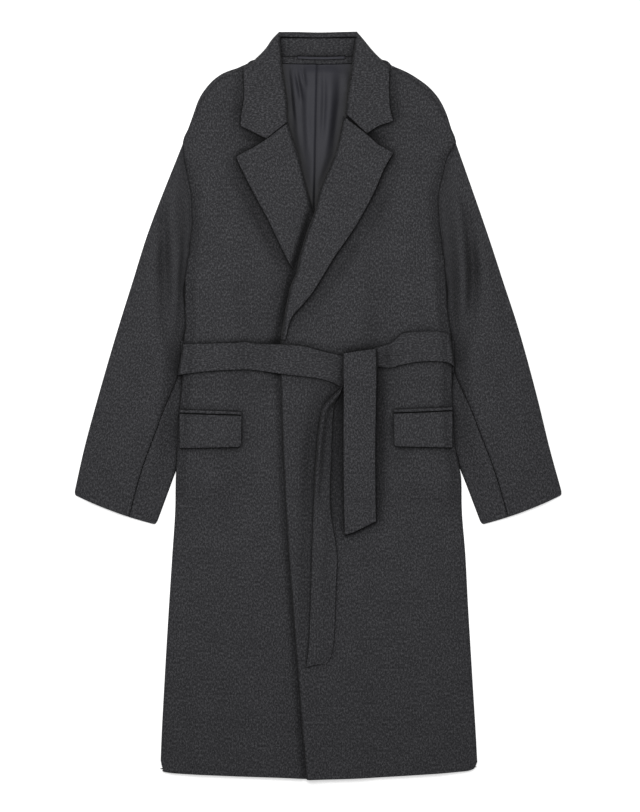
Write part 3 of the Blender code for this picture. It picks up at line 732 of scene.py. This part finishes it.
def make_front(which, wool):
    def down(x, y):
        return back_low(x, y) + 0.1

    if which == "right":
        inner = [(x - 4.5, y) for x, y in ROLL_RIGHT[1:]]
        hidden = [(x - 1.5, y) for x, y in ROLL_HIDDEN]
        curves = [
            inner, hidden, UNDER_EDGE[::-1],
            [(76, -603), (20, -604), (-19, -604)],
            HEM_RIGHT[::-1],
            side_curve("right", 232, -575)[::-1],
            side_curve("right", 425, 232, 0.2)[::-1],
            side_curve("right", 549, 425)[::-1],
            NECK_CORNER["right"][::-1],
        ]
        turned = {5: (down, SIDE_TURN), 7: (down, SIDE_TURN)}
    else:
        inner = [(x + 4.5, y) for x, y in ROLL_LEFT[1:-1]] + [(-59, 105)]
        curves = [
            inner, CLOSURE, HEM_LEFT,
            side_curve("left", 232, -578)[::-1],
            side_curve("left", 425, 232, 0.2)[::-1],
            side_curve("left", 549, 425)[::-1],
            NECK_CORNER["left"],
        ]
        turned = {1: (lambda x, y: front_top("right", x, y) + 0.2, 3.6),
                  3: (down, SIDE_TURN), 5: (down, SIDE_TURN)}
    return cloth_piece("coat_front_" + which, curves, lambda x, y: front_low(which, x, y),
                       WOOL + 0.4, wool, spacing=5.0, turned=turned)


def lapel_low(which, x, y):
    """Underside of a lapel: it springs up from its front towards its outer edge."""
    roll = ROLL_RIGHT[4:] + ROLL_HIDDEN[1:] if which == "right" else ROLL_LEFT[4:]
    d, _ = from_line(x, y, swept(roll, 8.0))
    hover = ramp(d, [(0, 4.2), (30, 5.4), (70, 5.6), (150, 6.2)])
    fade = ramp(y, [(100, 0.15), (190, 1)])
    if which == "right":
        line = closure_x(y)
        covered = ramp(x - line, [(-17, 0), (-3, 1)]) * ramp(y, [(311, 1), (345, 0)])
        fade = fade * (1 - covered) + 0.12 * covered
    return front_plain(which, x, y) + WOOL + 0.6 + hover * fade


def make_lapel(which, wool):
    if which == "right":
        roll = ROLL_RIGHT[4:]
        curves = [
            roll, ROLL_HIDDEN,
            [(58, 108), (30, 132), (-5, 172), (-38, 216), (-53, 240), (-81, 298), (-102, 337),
             (-122, 376), (-133, 400)],
            [(-133, 400), (-121, 407.5), (-106, 415)],
            [(-106, 415), (-84, 429)],
            [(-84, 429), (-49, 457)],
        ]
        turned = {0: (lambda x, y: back_low(x, y) + WOOL + 2.4, ROLL_TURN),
                  1: (lambda x, y: front_low(which, x, y) - 0.4, ROLL_TURN)}
        grain = 27
    else:
        roll = ROLL_LEFT[4:]
        curves = [
            roll, [(-61, 105), (-53, 105)],
            [(-53, 105), (-48, 128), (-41, 144), (-25, 162), (-7, 185), (15, 221), (28, 242),
             (45, 266), (65, 297), (88, 339), (106, 381), (121, 407)],
            [(121, 407), (97, 420)],
            [(97, 420), (88, 428), (78, 437)],
            [(78, 437), (40, 467)],
        ]

        def roll_level(x, y):
            on_front = front_top("right", x, y) + 0.4 + ramp(y, [(120, 0), (170, 4.2)])
            on_back = back_low(x, y) + WOOL + 2.2
            return (ramp(y, [(300, 1), (340, 0)]) * on_front
                    + ramp(y, [(300, 0), (340, 1)]) * on_back)

        turned = {0: (roll_level, ROLL_TURN)}
        grain = -27
    return cloth_piece("coat_lapel_" + which, curves, lambda x, y: lapel_low(which, x, y),
                       LAPEL, wool, spacing=4.0, turned=turned, grain=grain)


def leaf_low(x, y):
    """Underside of the collar leaf: high on the fronts, lower where it rolls over the neck."""
    near = np.minimum(inward("right", x, y), inward("left", x, y))
    on_front = collar_lift(y) + ramp(near, [(3, 5.0), (70, FRONT_INNER + 3.4)]) + WOOL + 1.2
    hover = ramp(y, [(425, 5.0), (470, 4.0), (520, 1.6), (570, 1.0)])
    over_neck = 5.6
    share = ramp(y, [(574, 0), (597, 1)]) * ramp(np.abs(x), [(54, 1), (76, 0)])
    return (on_front + hover) * (1 - share) + over_neck * share


def make_collar(wool):
    curves = [
        [(-49, 458), (-84, 429.6)],
        [(-84, 429.6), (-111, 443), (-126, 450)],
        [(-126, 450), (-125, 467), (-121, 489), (-120, 512), (-121, 535), (-121, 546)],
        [(-121, 546), (-113, 551.5), (-103, 559.7), (-87, 575.7), (-75.5, 591.8), (-64, 604)],
        [(-64, 604), (-35, 604), (0, 603.2), (37, 604), (62, 604.6)],
        [(62, 604.6), (72.8, 591.8), (88.8, 572.5), (104.8, 556.5), (115, 547)],
        [(115, 547), (114, 525), (114, 501), (116, 478), (121, 458)],
        [(121, 458), (97, 450), (78, 438)],
        [(78, 438), (43, 471)],
        [(43, 471), (46, 499), (51, 531), (54, 554), (58, 580), (59.6, 592.6)],
        [(59.6, 592.6), (56, 595.2), (0, 594.2), (-56, 595.2), (-62, 592.6)],
        [(-62, 592.6), (-61, 575), (-59, 554), (-55, 525), (-50, 492), (-49, 458)],
    ]

    floor_level = flat_at(2.0)

    def neck_level(x, y):
        return collar_lift(y) + FRONT_INNER - 0.4

    turned = {3: (floor_level, SIDE_TURN), 4: (floor_level, 6.0), 5: (floor_level, SIDE_TURN),
              9: (neck_level, ROLL_TURN), 11: (neck_level, ROLL_TURN)}
    return cloth_piece("coat_collar", curves, leaf_low, COLLAR, wool, spacing=3.5,
                       turned=turned, grain=90)


def make_collar_under(wool):
    curves = [
        [(-63, 601.5), (-91, 570), (-112, 551)],
        [(-112, 551), (-110, 535), (-104, 526)],
        [(-104, 526), (-60, 516), (0, 515), (60, 516), (104, 526)],
        [(104, 526), (110, 535), (112, 551)],
        [(112, 551), (91, 570), (62, 601.5)],
        [(62, 601.5), (-63, 601.5)],
    ]
    return cloth_piece("coat_collar_back", curves, flat_at(0.0), COLLAR, wool,
                       spacing=7.0, grain=90)


def make_stand(wool):
    curves = [
        [(-63, 563.2), (63, 563.2)], [(63, 563.2), (62, 593.6)], [(62, 593.6), (-62, 593.6)],
        [(-62, 593.6), (-63, 563.2)],
    ]

    def low(x, y):
        return 4.6 + 0.6 * smooth((y - 563) / 24)

    return cloth_piece("coat_collar_stand", curves, low, 2.6, wool, spacing=4.0, grain=90)


# Half-width, height, path: the lining's hollows and the soft ridges between them.
LINING_FOLDS = [
    (2.6, -2.4, (-36, 542), (-34, 528), (-30, 508), (-27, 488)),
    (2.4, -1.8, (-26, 548), (-24, 532), (-21, 514)),
    (3.0, -1.6, (-50, 548), (-46, 520), (-42, 480), (-38, 450)),
    (6.0, 1.6, (-43, 545), (-39, 500), (-33, 440), (-24, 380)),
    (5.0, 1.4, (-18, 520), (-19, 470), (-17, 400)),
    (3.2, -1.5, (8, 545), (9, 510), (8, 470), (6, 430)),
    (7.0, 1.2, (20, 540), (19, 480), (14, 410)),
    (6.0, -1.4, (34, 540), (33, 500), (27, 450), (20, 410)),
    (6.0, 1.0, (46, 540), (44, 500)),
]


def lining_low(x, y):
    """Underside of the lining: centre pleat and soft lengthwise folds."""
    rolls = [[(at_y, at_x) for at_x, at_y in roll] for roll in (ROLL_RIGHT[::-1], ROLL_LEFT[8::-1])]
    first, last = (np.interp(y, *zip(*roll)) for roll in rolls)
    across = np.clip((x - first) / np.maximum(last - first, 8), 0, 1)
    belly = smooth(across / 0.42) * smooth((1 - across) / 0.30) * ramp(y, [(330, 0), (420, 1)])
    base = collar_lift(y) + WOOL + 1.0 + 3.4 * belly * ramp(y, [(535, 1), (552, 0.3)])
    folds = creases(x, y, LINING_FOLDS)
    line = np.interp(y, [300, 560], [-7.5, -2.0])
    pleat = 1.6 * smooth((line - x) / 1.4) * ramp(x - line, [(-30, 0), (-2, 1)])
    return base + folds + pleat - 0.8 * np.exp(-((x - line - 1.0) / 1.5) ** 2)


def make_neck(wool, satin):
    curves = [
        [(-68, 552), (-66, 500), (-58, 450), (-40, 385), (-22, 325), (-10, 298)],
        [(-10, 298), (8, 298)],
        [(8, 298), (34, 385), (54, 450), (60, 500), (62, 552)],
        [(62, 552), (0, 550.5), (-68, 552)],
    ]
    lining = cloth_piece("coat_lining_back", curves, lining_low, LINING, satin, spacing=2.5)
    low = COLLAR_LIFT + WOOL + 0.4
    curves = [
        [(-64, 552.4), (0, 551), (60, 552.4)], [(60, 552.4), (60, 562.7)],
        [(60, 562.7), (-64, 562.7)], [(-64, 562.7), (-64, 552.4)],
    ]
    facing = cloth_piece("coat_neck_facing", curves, flat_at(low), 2.0, wool, spacing=4.0,
                         grain=90)
    curves = [
        [(-34, 559.4), (4, 558.2), (43, 559.4)], [(43, 559.4), (43, 563.8)],
        [(43, 563.8), (4, 562.8), (-34, 563.8)], [(-34, 563.8), (-34, 559.4)],
    ]
    loop = cloth_piece("coat_hanger_loop", curves, flat_at(low + 2.3), 1.4, satin, spacing=2.0,
                       grain=90)
    return lining, facing, loop


FLAPS = {
    "right": {"sign": -1, "inner": -124, "top_in": -17.5, "top_out": -14, "low_in": -68,
              "low_out": -70},
    "left": {"sign": 1, "inner": 121, "top_in": -14, "top_out": -10, "low_in": -67,
             "low_out": -69},
}
WELT_TALL = 5.2
WELT_RISE = 1.5


def make_pocket(which, wool):
    row = FLAPS[which]
    sign = row["sign"]
    inner = float(row["inner"])
    outer = float(edge(which, -40)) - sign * 2.0

    def low(x, y):
        hang = smooth((row["top_in"] - y) / 40)
        lift = smooth((55 - np.abs(x - outer)) / -20)
        return front_top(which, x, y) + 0.8 + 1.2 * hang + 1.2 * lift

    top_out, top_in, low_in = row["top_out"], row["top_in"], row["low_in"]
    corner = 6.0
    curves = [
        [(outer, top_out), (inner, top_in)],
        [(inner, top_in), (inner + sign * 0.6, low_in + corner)],
        [(inner + sign * 0.6, low_in + corner), (inner + sign * 2, low_in + 1.6),
         (inner + sign * corner, low_in)],
        [(inner + sign * corner, low_in), (outer, row["low_out"])],
        [(outer, row["low_out"]), (outer, top_out)],
    ]
    flap = cloth_piece("coat_flap_" + which, curves, low, 3.4, wool, spacing=3.5)
    from_out, from_in = top_out + WELT_RISE, top_in + WELT_RISE
    curves = [
        [(outer, from_out), (inner, from_in)], [(inner, from_in), (inner, from_in + WELT_TALL)],
        [(inner, from_in + WELT_TALL), (outer, from_out + WELT_TALL)],
        [(outer, from_out + WELT_TALL), (outer, from_out)],
    ]
    welt = cloth_piece("coat_welt_" + which, curves,
                       lambda x, y: front_top(which, x, y) + 1.0, 3.0, wool, spacing=2.5,
                       grain=90)
    return flap, welt


# ---------------------------------------------------------------- sleeves

SLEEVE_CREASES = {
    "right": [
        (10, -9.0, (-243, 362), (-251, 310), (-250, 270), (-249, 215), (-247, 140), (-246, 90)),
        (12, 3.4, (-228, 340), (-230, 280), (-229, 200), (-232, 130)),
        (14, 2.6, (-274, 300), (-282, 230), (-294, 150), (-312, 60)),
        (9, -3.0, (-290, 210), (-302, 140), (-314, 70)),
        (9, 1.6, (-226, 290), (-224, 220), (-226, 150)),
        (15, -2.0, (-296, 60), (-312, 0), (-326, -60)),
        (20, 1.8, (-282, 40), (-300, -40), (-318, -120)),
        (16, -1.4, (-342, 40), (-356, -30), (-368, -100)),
    ],
    "left": [
        (10, -9.0, (226, 366), (239, 310), (248, 250), (250, 200), (246, 150), (240, 100)),
        (12, 3.4, (219, 330), (228, 270), (230, 200), (228, 130)),
        (14, 2.8, (266, 300), (280, 210), (298, 90)),
        (9, -3.0, (286, 240), (300, 170), (312, 90)),
        (9, 2.8, (222, 280), (231, 220), (232, 140)),
        (15, -2.0, (296, 60), (314, 0), (328, -60)),
        (20, 1.8, (284, 30), (304, -60), (320, -130)),
        (16, -1.4, (340, 60), (354, -20), (366, -100)),
    ],
}


def near_end(distance, radius):
    """Half-round share of a wall's thickness near its end."""
    t = np.clip(distance / radius, 0, 1)
    return np.sqrt(np.clip(1 - (1 - t) ** 2, 0, 1))


def graded(length, step, close=(0.0, 0.25, 0.6, 1.1, 2.0, 3.4)):
    """Places along a length, close together at both ends."""
    middle = np.arange(close[-1] + step * 0.7, length - close[-1] - step * 0.5, step)
    return np.concatenate([close, middle, length - np.array(close[::-1])])


class Sleeve:
    """A sleeve laid flat: its two folds in plan, and the height of its top layer.

    A share goes across it, from 0 at the outer fold to 1 at the inner one. A station goes round
    the armhole, from 0 at the shoulder to 1 where the under side ends.
    """

    def __init__(self, which):
        self.which = which
        self.ends = self.armhole(np.array([0.0, 1.0]))
        rows = self.sections()
        spans = np.linalg.norm(np.diff(rows[:, :2], axis=0), axis=1)
        stations = np.concatenate([[0], np.cumsum(spans)])
        self.length = stations[-1]
        self.along = graded(self.length, SLEEVE_STEP)
        out_x, out_y, in_x, in_y, self.loft, self.seam_at = (
            through(self.along, stations, column) for column in rows.T)
        outer, inner = np.stack([out_x, out_y], axis=1), np.stack([in_x, in_y], axis=1)
        width = np.linalg.norm(inner - outer, axis=1)
        tuck = CUFF_TUCK * (1 - near_end(self.along, CUFF_ROUND))[:, None]
        across = (inner - outer) / width[:, None]
        self.outer, self.inner = outer + across * tuck, inner - across * tuck
        self.width = np.linalg.norm(self.inner - self.outer, axis=1)
        self.at_head = np.clip((self.along - stations[-2]) / spans[-1], 0, 1)
        self.bow = CUFF_BOW * (1 - smooth(self.along / 60))

    def sections(self):
        """Outer fold, inner fold, height and seam's share of each section, cuff to head."""
        side = 0 if self.which == "right" else 1
        rows = [(outer_x[side], outer_y, inner_x[side], inner_y, loft, seam)
                for outer_y, outer_x, inner_y, inner_x, loft, seam in SLEEVE_ROWS]
        rows.append((*self.ends[0], *self.ends[1], HEAD_LOFT, SEAM_STATION))
        return np.array(rows, float)

    def armhole(self, station):
        """Plan points of the armhole seam."""
        sign = -1 if self.which == "right" else 1
        y = np.interp(station, SLEEVE_STATIONS, ARMHOLE_HEIGHTS)
        inset = ARMHOLE_INSET + np.interp(station, [UNDERARM_STATION, 1], [0, ARMHOLE_INWARD])
        return np.stack([edge(self.which, y) - sign * inset, y], axis=-1)

    def station_of(self, share):
        seam = self.seam_at[:, None]
        over = share * SEAM_STATION / seam
        beyond = SEAM_STATION + (share - seam) * (1 - SEAM_STATION) / (1 - seam)
        return np.clip(np.where(share <= seam, over, beyond), 0, 1)

    def plan(self, share):
        """Plan points for an array of shares, one row for each place along."""
        spot = (self.outer[:, None] * (1 - share)[..., None]
                + self.inner[:, None] * share[..., None])
        station = self.station_of(share)
        straight = self.ends[0] * (1 - station)[..., None] + self.ends[1] * station[..., None]
        spot = spot + (self.armhole(station) - straight) * self.at_head[:, None, None]
        spot[..., 1] -= self.bow[:, None] * 4 * share * (1 - share)
        return spot

    def top_height(self, share, spot):
        """Height of the top layer: it falls to the folds, and meets the front at the armhole."""
        x, y = spot[..., 0], spot[..., 1]
        station = self.station_of(share)
        outside = -inward(self.which, x, y)
        free = ramp(share, [(0.0, 0.5), (0.22, 1.0), (0.55, 1.0), (0.95, 0.5)])
        dip = ramp(outside, [(5, 0), (36, 1)]) * ramp(y, [(-150, 0), (-60, 1)])
        dip = dip + ramp(y, [(-150, 1), (-60, 0)])
        level = SLEEVE_FLAT + (self.loft[:, None] * free - SLEEVE_FLAT) * dip
        head = front_top(self.which, x, y)
        join = ramp(station, [(0.01, 0.3), (0.1, 1), (0.54, 1), (UNDERARM_STATION, 0)])
        near_head = (self.along - (self.length - HEAD_BLEND)) / HEAD_BLEND
        blend = smooth(near_head)[:, None] * join
        from_seam = (self.length - self.along)[:, None]
        sunk = 2.4 * np.exp(-(from_seam / 16) ** 2) + 4.0 * np.exp(-(from_seam / 3.2) ** 2)
        level = level * (1 - blend) + (head - sunk) * blend
        swell = creases(x, y, SLEEVE_CREASES[self.which]) + 0.5 * drape(x, y)
        swell = swell * ramp(share, [(0.02, 0), (0.15, 1), (0.7, 1), (0.95, 0)])
        swell = swell * ramp(outside, [(2, 0), (14, 1)]) * (1 - blend)
        return np.maximum(level + swell, SLEEVE_LEAST)


def shell_faces(count, wide):
    """Quads of a closed shell of two grids, each of count rows of wide points."""
    def at(shell, i, k):
        return shell * count * wide + i * wide + k

    faces = []
    for i in range(count - 1):
        for k in range(wide - 1):
            faces.append((at(0, i, k), at(0, i, k + 1), at(0, i + 1, k + 1), at(0, i + 1, k)))
            faces.append((at(1, i, k), at(1, i + 1, k), at(1, i + 1, k + 1), at(1, i, k + 1)))
        for k, flip in ((0, False), (wide - 1, True)):
            quad = (at(0, i, k), at(0, i + 1, k), at(1, i + 1, k), at(1, i, k))
            faces.append(quad[::-1] if flip else quad)
    for k in range(wide - 1):
        for i, flip in ((0, True), (count - 1, False)):
            quad = (at(0, i, k), at(0, i, k + 1), at(1, i, k + 1), at(1, i, k))
            faces.append(quad[::-1] if flip else quad)
    return faces


def sleeve_panel(sleeve, part, wool):
    """Upper or under sleeve: from the seam on top, round a fold, to the seam underneath."""
    is_upper = part == "upper"
    width, along = sleeve.width, sleeve.along
    count = len(along)
    seam_at = sleeve.seam_at if is_upper else 1 - sleeve.seam_at
    back_at = BACK_SEAM if is_upper else 1 - BACK_SEAM
    seam, back = seam_at * width - 0.2, back_at * width - 0.2

    # Insets from the fold: over the top, round the fold, and underneath.
    top_shape = graded(1.0, 0.04, (0.0, 0.0025, 0.006, 0.011, 0.02, 0.036))
    low_shape = np.linspace(0, 1, 5 if is_upper else 22)
    turn = np.linspace(90, -90, 15)[1:-1]
    inset_top = seam[:, None] * (1 - top_shape) + FOLD_REACH * top_shape
    inset_low = FOLD_REACH * (1 - low_shape) + back[:, None] * low_shape
    inset_fold = np.broadcast_to(FOLD_REACH * (1 - np.cos(np.radians(turn))),
                                 (count, len(turn)))
    inset = np.concatenate([inset_top, inset_fold, inset_low], axis=1)
    angle = np.radians(np.concatenate([np.full(len(top_shape), 90), turn,
                                       np.full(len(low_shape), -90)]))
    sine, cosine = np.sin(angle)[None, :], np.cos(angle)[None, :]
    is_top = np.arange(len(angle)) < len(top_shape)

    share, fold_share = inset / width[:, None], (FOLD_REACH / width)[:, None]
    if not is_upper:
        share, fold_share = 1 - share, 1 - fold_share
    spot = sleeve.plan(share)
    radius = sleeve.top_height(fold_share, sleeve.plan(fold_share)) / 2
    level = sleeve.top_height(share, spot)

    half = WOOL / 2
    mid = np.where(is_top[None, :], level - half, radius + (radius - half) * sine)
    side = np.concatenate([seam[:, None] - inset_top, np.full((count, len(turn)), NO_EDGE),
                           back[:, None] - inset_low], axis=1)
    to_end = np.minimum(along, sleeve.length - along)
    thin = half * np.minimum(near_end(to_end, WALL_ROUND)[:, None], near_end(side, WALL_ROUND))
    seam_dip = 0.9 * np.exp(-(side / 2.2) ** 2) * is_top[None, :]
    head_dip = 0.5 * np.exp(-((sleeve.length - along) / 2.5) ** 2)[:, None] * is_top
    mid = mid - seam_dip - head_dip
    outward = -1.0 if is_upper else 1.0
    direction = (sleeve.inner - sleeve.outer) / width[:, None] * outward
    shells = []
    for way in (1, -1):
        xy = spot + direction[:, None] * (way * thin * cosine)[..., None]
        z = mid + way * thin * sine
        shells.append(np.concatenate([xy, z[..., None]], axis=2).reshape(-1, 3))
    points = np.concatenate(shells)
    points[:, 2] = np.maximum(points[:, 2], 0.02)

    faces = shell_faces(count, inset.shape[1])
    if is_upper == (sleeve.which == "left"):
        faces = [face[::-1] for face in faces]
    around = np.concatenate([inset_top - FOLD_REACH, -inset_fold, -inset_low - FOLD_REACH],
                            axis=1)
    cloth = np.stack([around, np.broadcast_to(along[:, None], around.shape),
                      np.zeros(around.shape)], axis=2).reshape(-1, 3)
    name = "coat_sleeve_" + part + "_" + sleeve.which
    return add_mesh(name, points, faces, wool, np.vstack([cloth, cloth]))


def make_sleeve(which, wool):
    sleeve = Sleeve(which)
    return [sleeve_panel(sleeve, part, wool) for part in ("upper", "under")]


# ---------------------------------------------------------------- belt

def belt_low(x, y):
    return top_of_fronts(x, y) + 0.7


BELT_CREASES = [
    (8, 1.8, (-30, 68), (10, 62), (40, 50)),
    (6, -1.6, (-20, 82), (14, 74), (40, 64)),
    (6, 2.6, (101, 96), (99, 78), (101, 58)),
    (4, -2.2, (109, 96), (109, 78), (113, 58)),
    (7, 1.6, (108, 82), (130, 92), (160, 103)),
    (6, -1.5, (92, 72), (120, 78), (160, 88)),
    (12, 1.0, (-190, 76), (-140, 78), (-90, 76)),
]


def make_belt(wool):
    def waist_low(x, y):
        return belt_low(x, y) + creases(x, y, BELT_CREASES) + 0.4

    def side_low(side):
        return lambda x, y: sleeve_lift(edge(side, y), y) + BELT + 0.6

    right = [
        [(-219, 98.5), (-142, 100), (-121, 102), (-95, 99), (-30, 96), (5, 87), (44, 78)],
        [(44, 78), (42, 27)],
        [(42, 27), (37, 28), (7, 41), (-59, 50), (-95, 55), (-121, 57), (-179, 54), (-228, 48)],
        [(-228, 48), (-223, 75), (-219, 98.5)],
    ]
    run_right = cloth_piece("coat_belt_waist_right", right, waist_low, BELT, wool, spacing=3.5,
                            turned={3: (side_low("right"), ROLL_TURN)}, grain=90)
    left = [
        [(90, 92), (116, 100), (126, 108), (136, 115.5), (153, 118), (184, 119), (212, 116)],
        [(212, 116), (217, 87), (220, 62)],
        [(220, 62), (205, 69), (166, 70), (132, 64), (116, 60), (90, 62)],
        [(90, 62), (90, 92)],
    ]
    run_left = cloth_piece("coat_belt_waist_left", left, waist_low, BELT, wool, spacing=3.5,
                           turned={1: (side_low("left"), ROLL_TURN)}, grain=90)

    def back_run_low(x, y):
        return sleeve_lift(np.clip(x, edge("right", y), edge("left", y)), y)

    first, last = float(edge("right", 78)) - 4.0, float(edge("left", 78)) + 4.0
    back = [
        [(first, 104), (first, 52)], [(first, 52), (last, 52)],
        [(last, 52), (last, 104)], [(last, 104), (first, 104)],
    ]
    run_back = cloth_piece("coat_belt_back", back, back_run_low, 2.9, wool, spacing=7.0,
                           grain=90)
    return run_right, run_left, run_back


UNDER_CREASES = [
    (7, 1.6, (6, -150), (4, -260), (0, -380)),
    (6, -1.0, (20, -160), (18, -260), (14, -360)),
]


def make_knot(wool):
    def knot_low(x, y):
        return top_of_fronts(x, y) + 0.6

    def knot_top(x, y):
        return top_of_fronts(x, y) + BELT * 2 + 1.8

    core = [
        [(40, 80), (60, 84), (94, 88)], [(94, 88), (95, 60), (93, 40)],
        [(93, 40), (66, 34), (40, 36)], [(40, 36), (39, 60), (40, 80)],
    ]
    knot = cloth_piece("coat_belt_knot", core, knot_low, 6.0, wool, spacing=3.5, grain=90,
                       top=knot_top, roll=3.0)

    def band_low(x, y):
        lifted = ramp(y, [(-215, 0.45), (-60, 0.7), (36, 1)])
        return top_of_fronts(x, y, front_plain) + 1.0 + lifted * (BELT * 2 + 2.4)

    band = [
        [(40.5, 83), (66, 87), (92.5, 90.5)],
        [(92.5, 90.5), (93.5, 40), (92, -57), (92, -130), (93, -188)],
        [(93, -188), (56, -206)], [(56, -206), (42, -210)],
        [(42, -210), (40.5, -130), (40, -57), (40.5, 20), (40.5, 83)],
    ]
    front_end = cloth_piece("coat_belt_end_front", band, band_low, BELT, wool, spacing=3.5)

    under_edge = [(37.6, 29), (22, 14), (9, 0), (3.5, -16), (-1, -48), (-4, -86), (-7.5, -138),
                  (-11, -245), (-15, -374), (-20, -424)]

    def under_low(x, y):
        """The under end twists out of the knot: its edge stands up and a hollow lies beside it."""
        d, _ = from_line(x, y, swept(under_edge, 6.0))
        twist = ramp(y, [(-230, 0), (-60, 1)])
        ridge = 11.5 * np.exp(-((d - 4.6) / 4.8) ** 2)
        flat = 0.5 + 1.0 * ramp(y, [(-424, 0), (-150, 1)]) + creases(x, y, UNDER_CREASES)
        return top_of_fronts(x, y) + flat * (1 - 0.7 * twist) + ridge * twist

    under = [
        [(37.6, 29), (39, 29)], [(39, 29), (33, 15), (26, 0), (23, -30), (21, -90)],
        [(21, -90), (19, -140), (21, -180), (27, -220), (30, -250), (28, -298), (25, -379),
         (20, -407)],
        [(20, -407), (14, -417), (7, -419)], [(7, -419), (-6, -420), (-20, -424)],
        under_edge[::-1],
    ]

    def under_top(x, y):
        d, _ = from_line(x, y, swept(under_edge, 6.0))
        thin = ramp(d, [(12, 0), (28, 1.7)]) * ramp(y, [(-230, 1), (-160, 0)])
        return under_low(x, y) + BELT - thin - 1.2 * ramp(y, [(-424, 1), (-396, 0)])

    under_end = cloth_piece("coat_belt_end_under", under, under_low, BELT, wool, spacing=3.5,
                            top=under_top)
    return knot, front_end, under_end


# ---------------------------------------------------------------- studio

def make_studio():
    """Pale floor, a broad light overhead, a weak one from the upper left, and the camera."""
    mesh = bpy.data.meshes.new("floor")
    corners = [(x * FLOOR_HALF, y * FLOOR_HALF, 0) for x, y in ((-1, -1), (1, -1), (1, 1), (-1, 1))]
    mesh.from_pydata(corners, [], [(0, 1, 2, 3)])
    floor = bpy.data.objects.new("floor", mesh)
    floor.location.z = FLOOR_Z
    bpy.context.scene.collection.objects.link(floor)
    paint = bpy.data.materials.new("pale_floor")
    paint.use_nodes = True
    shader = paint.node_tree.nodes["Principled BSDF"]
    shader.inputs["Base Color"].default_value = (0.93, 0.93, 0.93, 1)
    shader.inputs["Roughness"].default_value = 0.95
    shader.inputs["Specular IOR Level"].default_value = 0.1
    shader.inputs["Emission Color"].default_value = (1, 1, 1, 1)
    shader.inputs["Emission Strength"].default_value = 0.55
    mesh.materials.append(paint)

    world = bpy.data.worlds.new("studio")
    world.use_nodes = True
    world.node_tree.nodes["Background"].inputs[0].default_value = (1, 1, 1, 1)
    world.node_tree.nodes["Background"].inputs[1].default_value = 0.16
    bpy.context.scene.world = world

    for name, place, side, power in LIGHTS:
        light = bpy.data.lights.new(name, "AREA")
        light.shape = "SQUARE"
        light.size = side
        light.energy = power
        lamp = bpy.data.objects.new(name, light)
        lamp.location = place
        aim = Vector(LIGHTS_AIM) - Vector(place)
        lamp.rotation_euler = aim.to_track_quat("-Z", "Y").to_euler()
        bpy.context.scene.collection.objects.link(lamp)

    view = bpy.context.scene.view_settings
    view.view_transform = "Standard"
    lens = bpy.data.cameras.new("camera")
    lens.lens = lens.sensor_width * CAMERA_HEIGHT / VIEW_TALL
    lens.clip_end = 50
    camera = bpy.data.objects.new("camera", lens)
    camera.location = (CENTRE_X, CENTRE_Y, CAMERA_HEIGHT)
    bpy.context.scene.collection.objects.link(camera)
    bpy.context.scene.camera = camera


def settle(piece, nodes):
    """Puts a piece on the coat's body, in place of its solids."""
    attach(piece, "root")
    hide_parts(*nodes)


def main():
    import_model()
    wool, satin = wool_material(), lining_material()
    made = [make_back(wool), *(make_front(w, wool) for w in ("right", "left"))]
    made += [make_lapel(w, wool) for w in ("right", "left")]
    made += [make_collar(wool), make_collar_under(wool), make_stand(wool)]
    made += list(make_neck(wool, satin))
    for which in ("right", "left"):
        made += list(make_pocket(which, wool))
        made += make_sleeve(which, wool)
    made += list(make_belt(wool)) + list(make_knot(wool))
    by_name = {piece.name: piece for piece in made}
    for name, finish, flat, area, under in CUTS:
        settle(by_name["coat_" + name], SOLIDS.get(name, [name]))
    make_studio()


# Piece, finish, flat cut (width, length) and area in metres, and what it lies on.
CUTS = [
    ("back", "wool", (0.51, 1.18), 0.495, []),
    ("front_right", "wool", (0.34, 1.17), 0.285, ["back"]),
    ("front_left", "wool", (0.33, 1.17), 0.275, ["front_right"]),
    ("lapel_right", "wool", (0.13, 0.38), 0.024, ["front_right"]),
    ("lapel_left", "wool", (0.13, 0.38), 0.022, ["front_left"]),
    ("collar", "wool", (0.10, 0.44), 0.024, ["front_right", "front_left"]),
    ("collar_back", "wool", (0.09, 0.23), 0.017, []),
    ("collar_stand", "wool", (0.03, 0.145), 0.0041, ["collar_back"]),
    ("lining_back", "lining", (0.17, 0.27), 0.028, ["back"]),
    ("neck_facing", "wool", (0.0145, 0.126), 0.0016, ["back"]),
    ("hanger_loop", "lining", (0.0115, 0.08), 0.0005, ["neck_facing"]),
    ("sleeve_upper_right", "wool", (0.16, 0.62), 0.075, []),
    ("sleeve_under_right", "wool", (0.20, 0.57), 0.085, []),
    ("sleeve_upper_left", "wool", (0.16, 0.62), 0.075, []),
    ("sleeve_under_left", "wool", (0.20, 0.57), 0.085, []),
    ("flap_right", "wool", (0.06, 0.10), 0.0053, ["front_right"]),
    ("flap_left", "wool", (0.06, 0.10), 0.0052, ["front_left"]),
    ("welt_right", "wool", (0.011, 0.10), 0.0005, ["front_right"]),
    ("welt_left", "wool", (0.011, 0.10), 0.0005, ["front_left"]),
    ("belt_waist_right", "wool", (0.055, 0.27), 0.0125, ["front_right", "front_left"]),
    ("belt_waist_left", "wool", (0.055, 0.14), 0.0062, ["front_left"]),
    ("belt_back", "wool", (0.052, 0.45), 0.0234, []),
    ("belt_knot", "wool", (0.055, 0.055), 0.003, ["front_left"]),
    ("belt_end_front", "wool", (0.053, 0.30), 0.0152, ["belt_knot", "front_left"]),
    ("belt_end_under", "wool", (0.053, 0.47), 0.0170, ["front_left"]),
]
# Solids a piece stands for, where they aren't the one of its own name.
SOLIDS = {"collar": ["collar_leaf_right", "collar_leaf_left"]}

main()
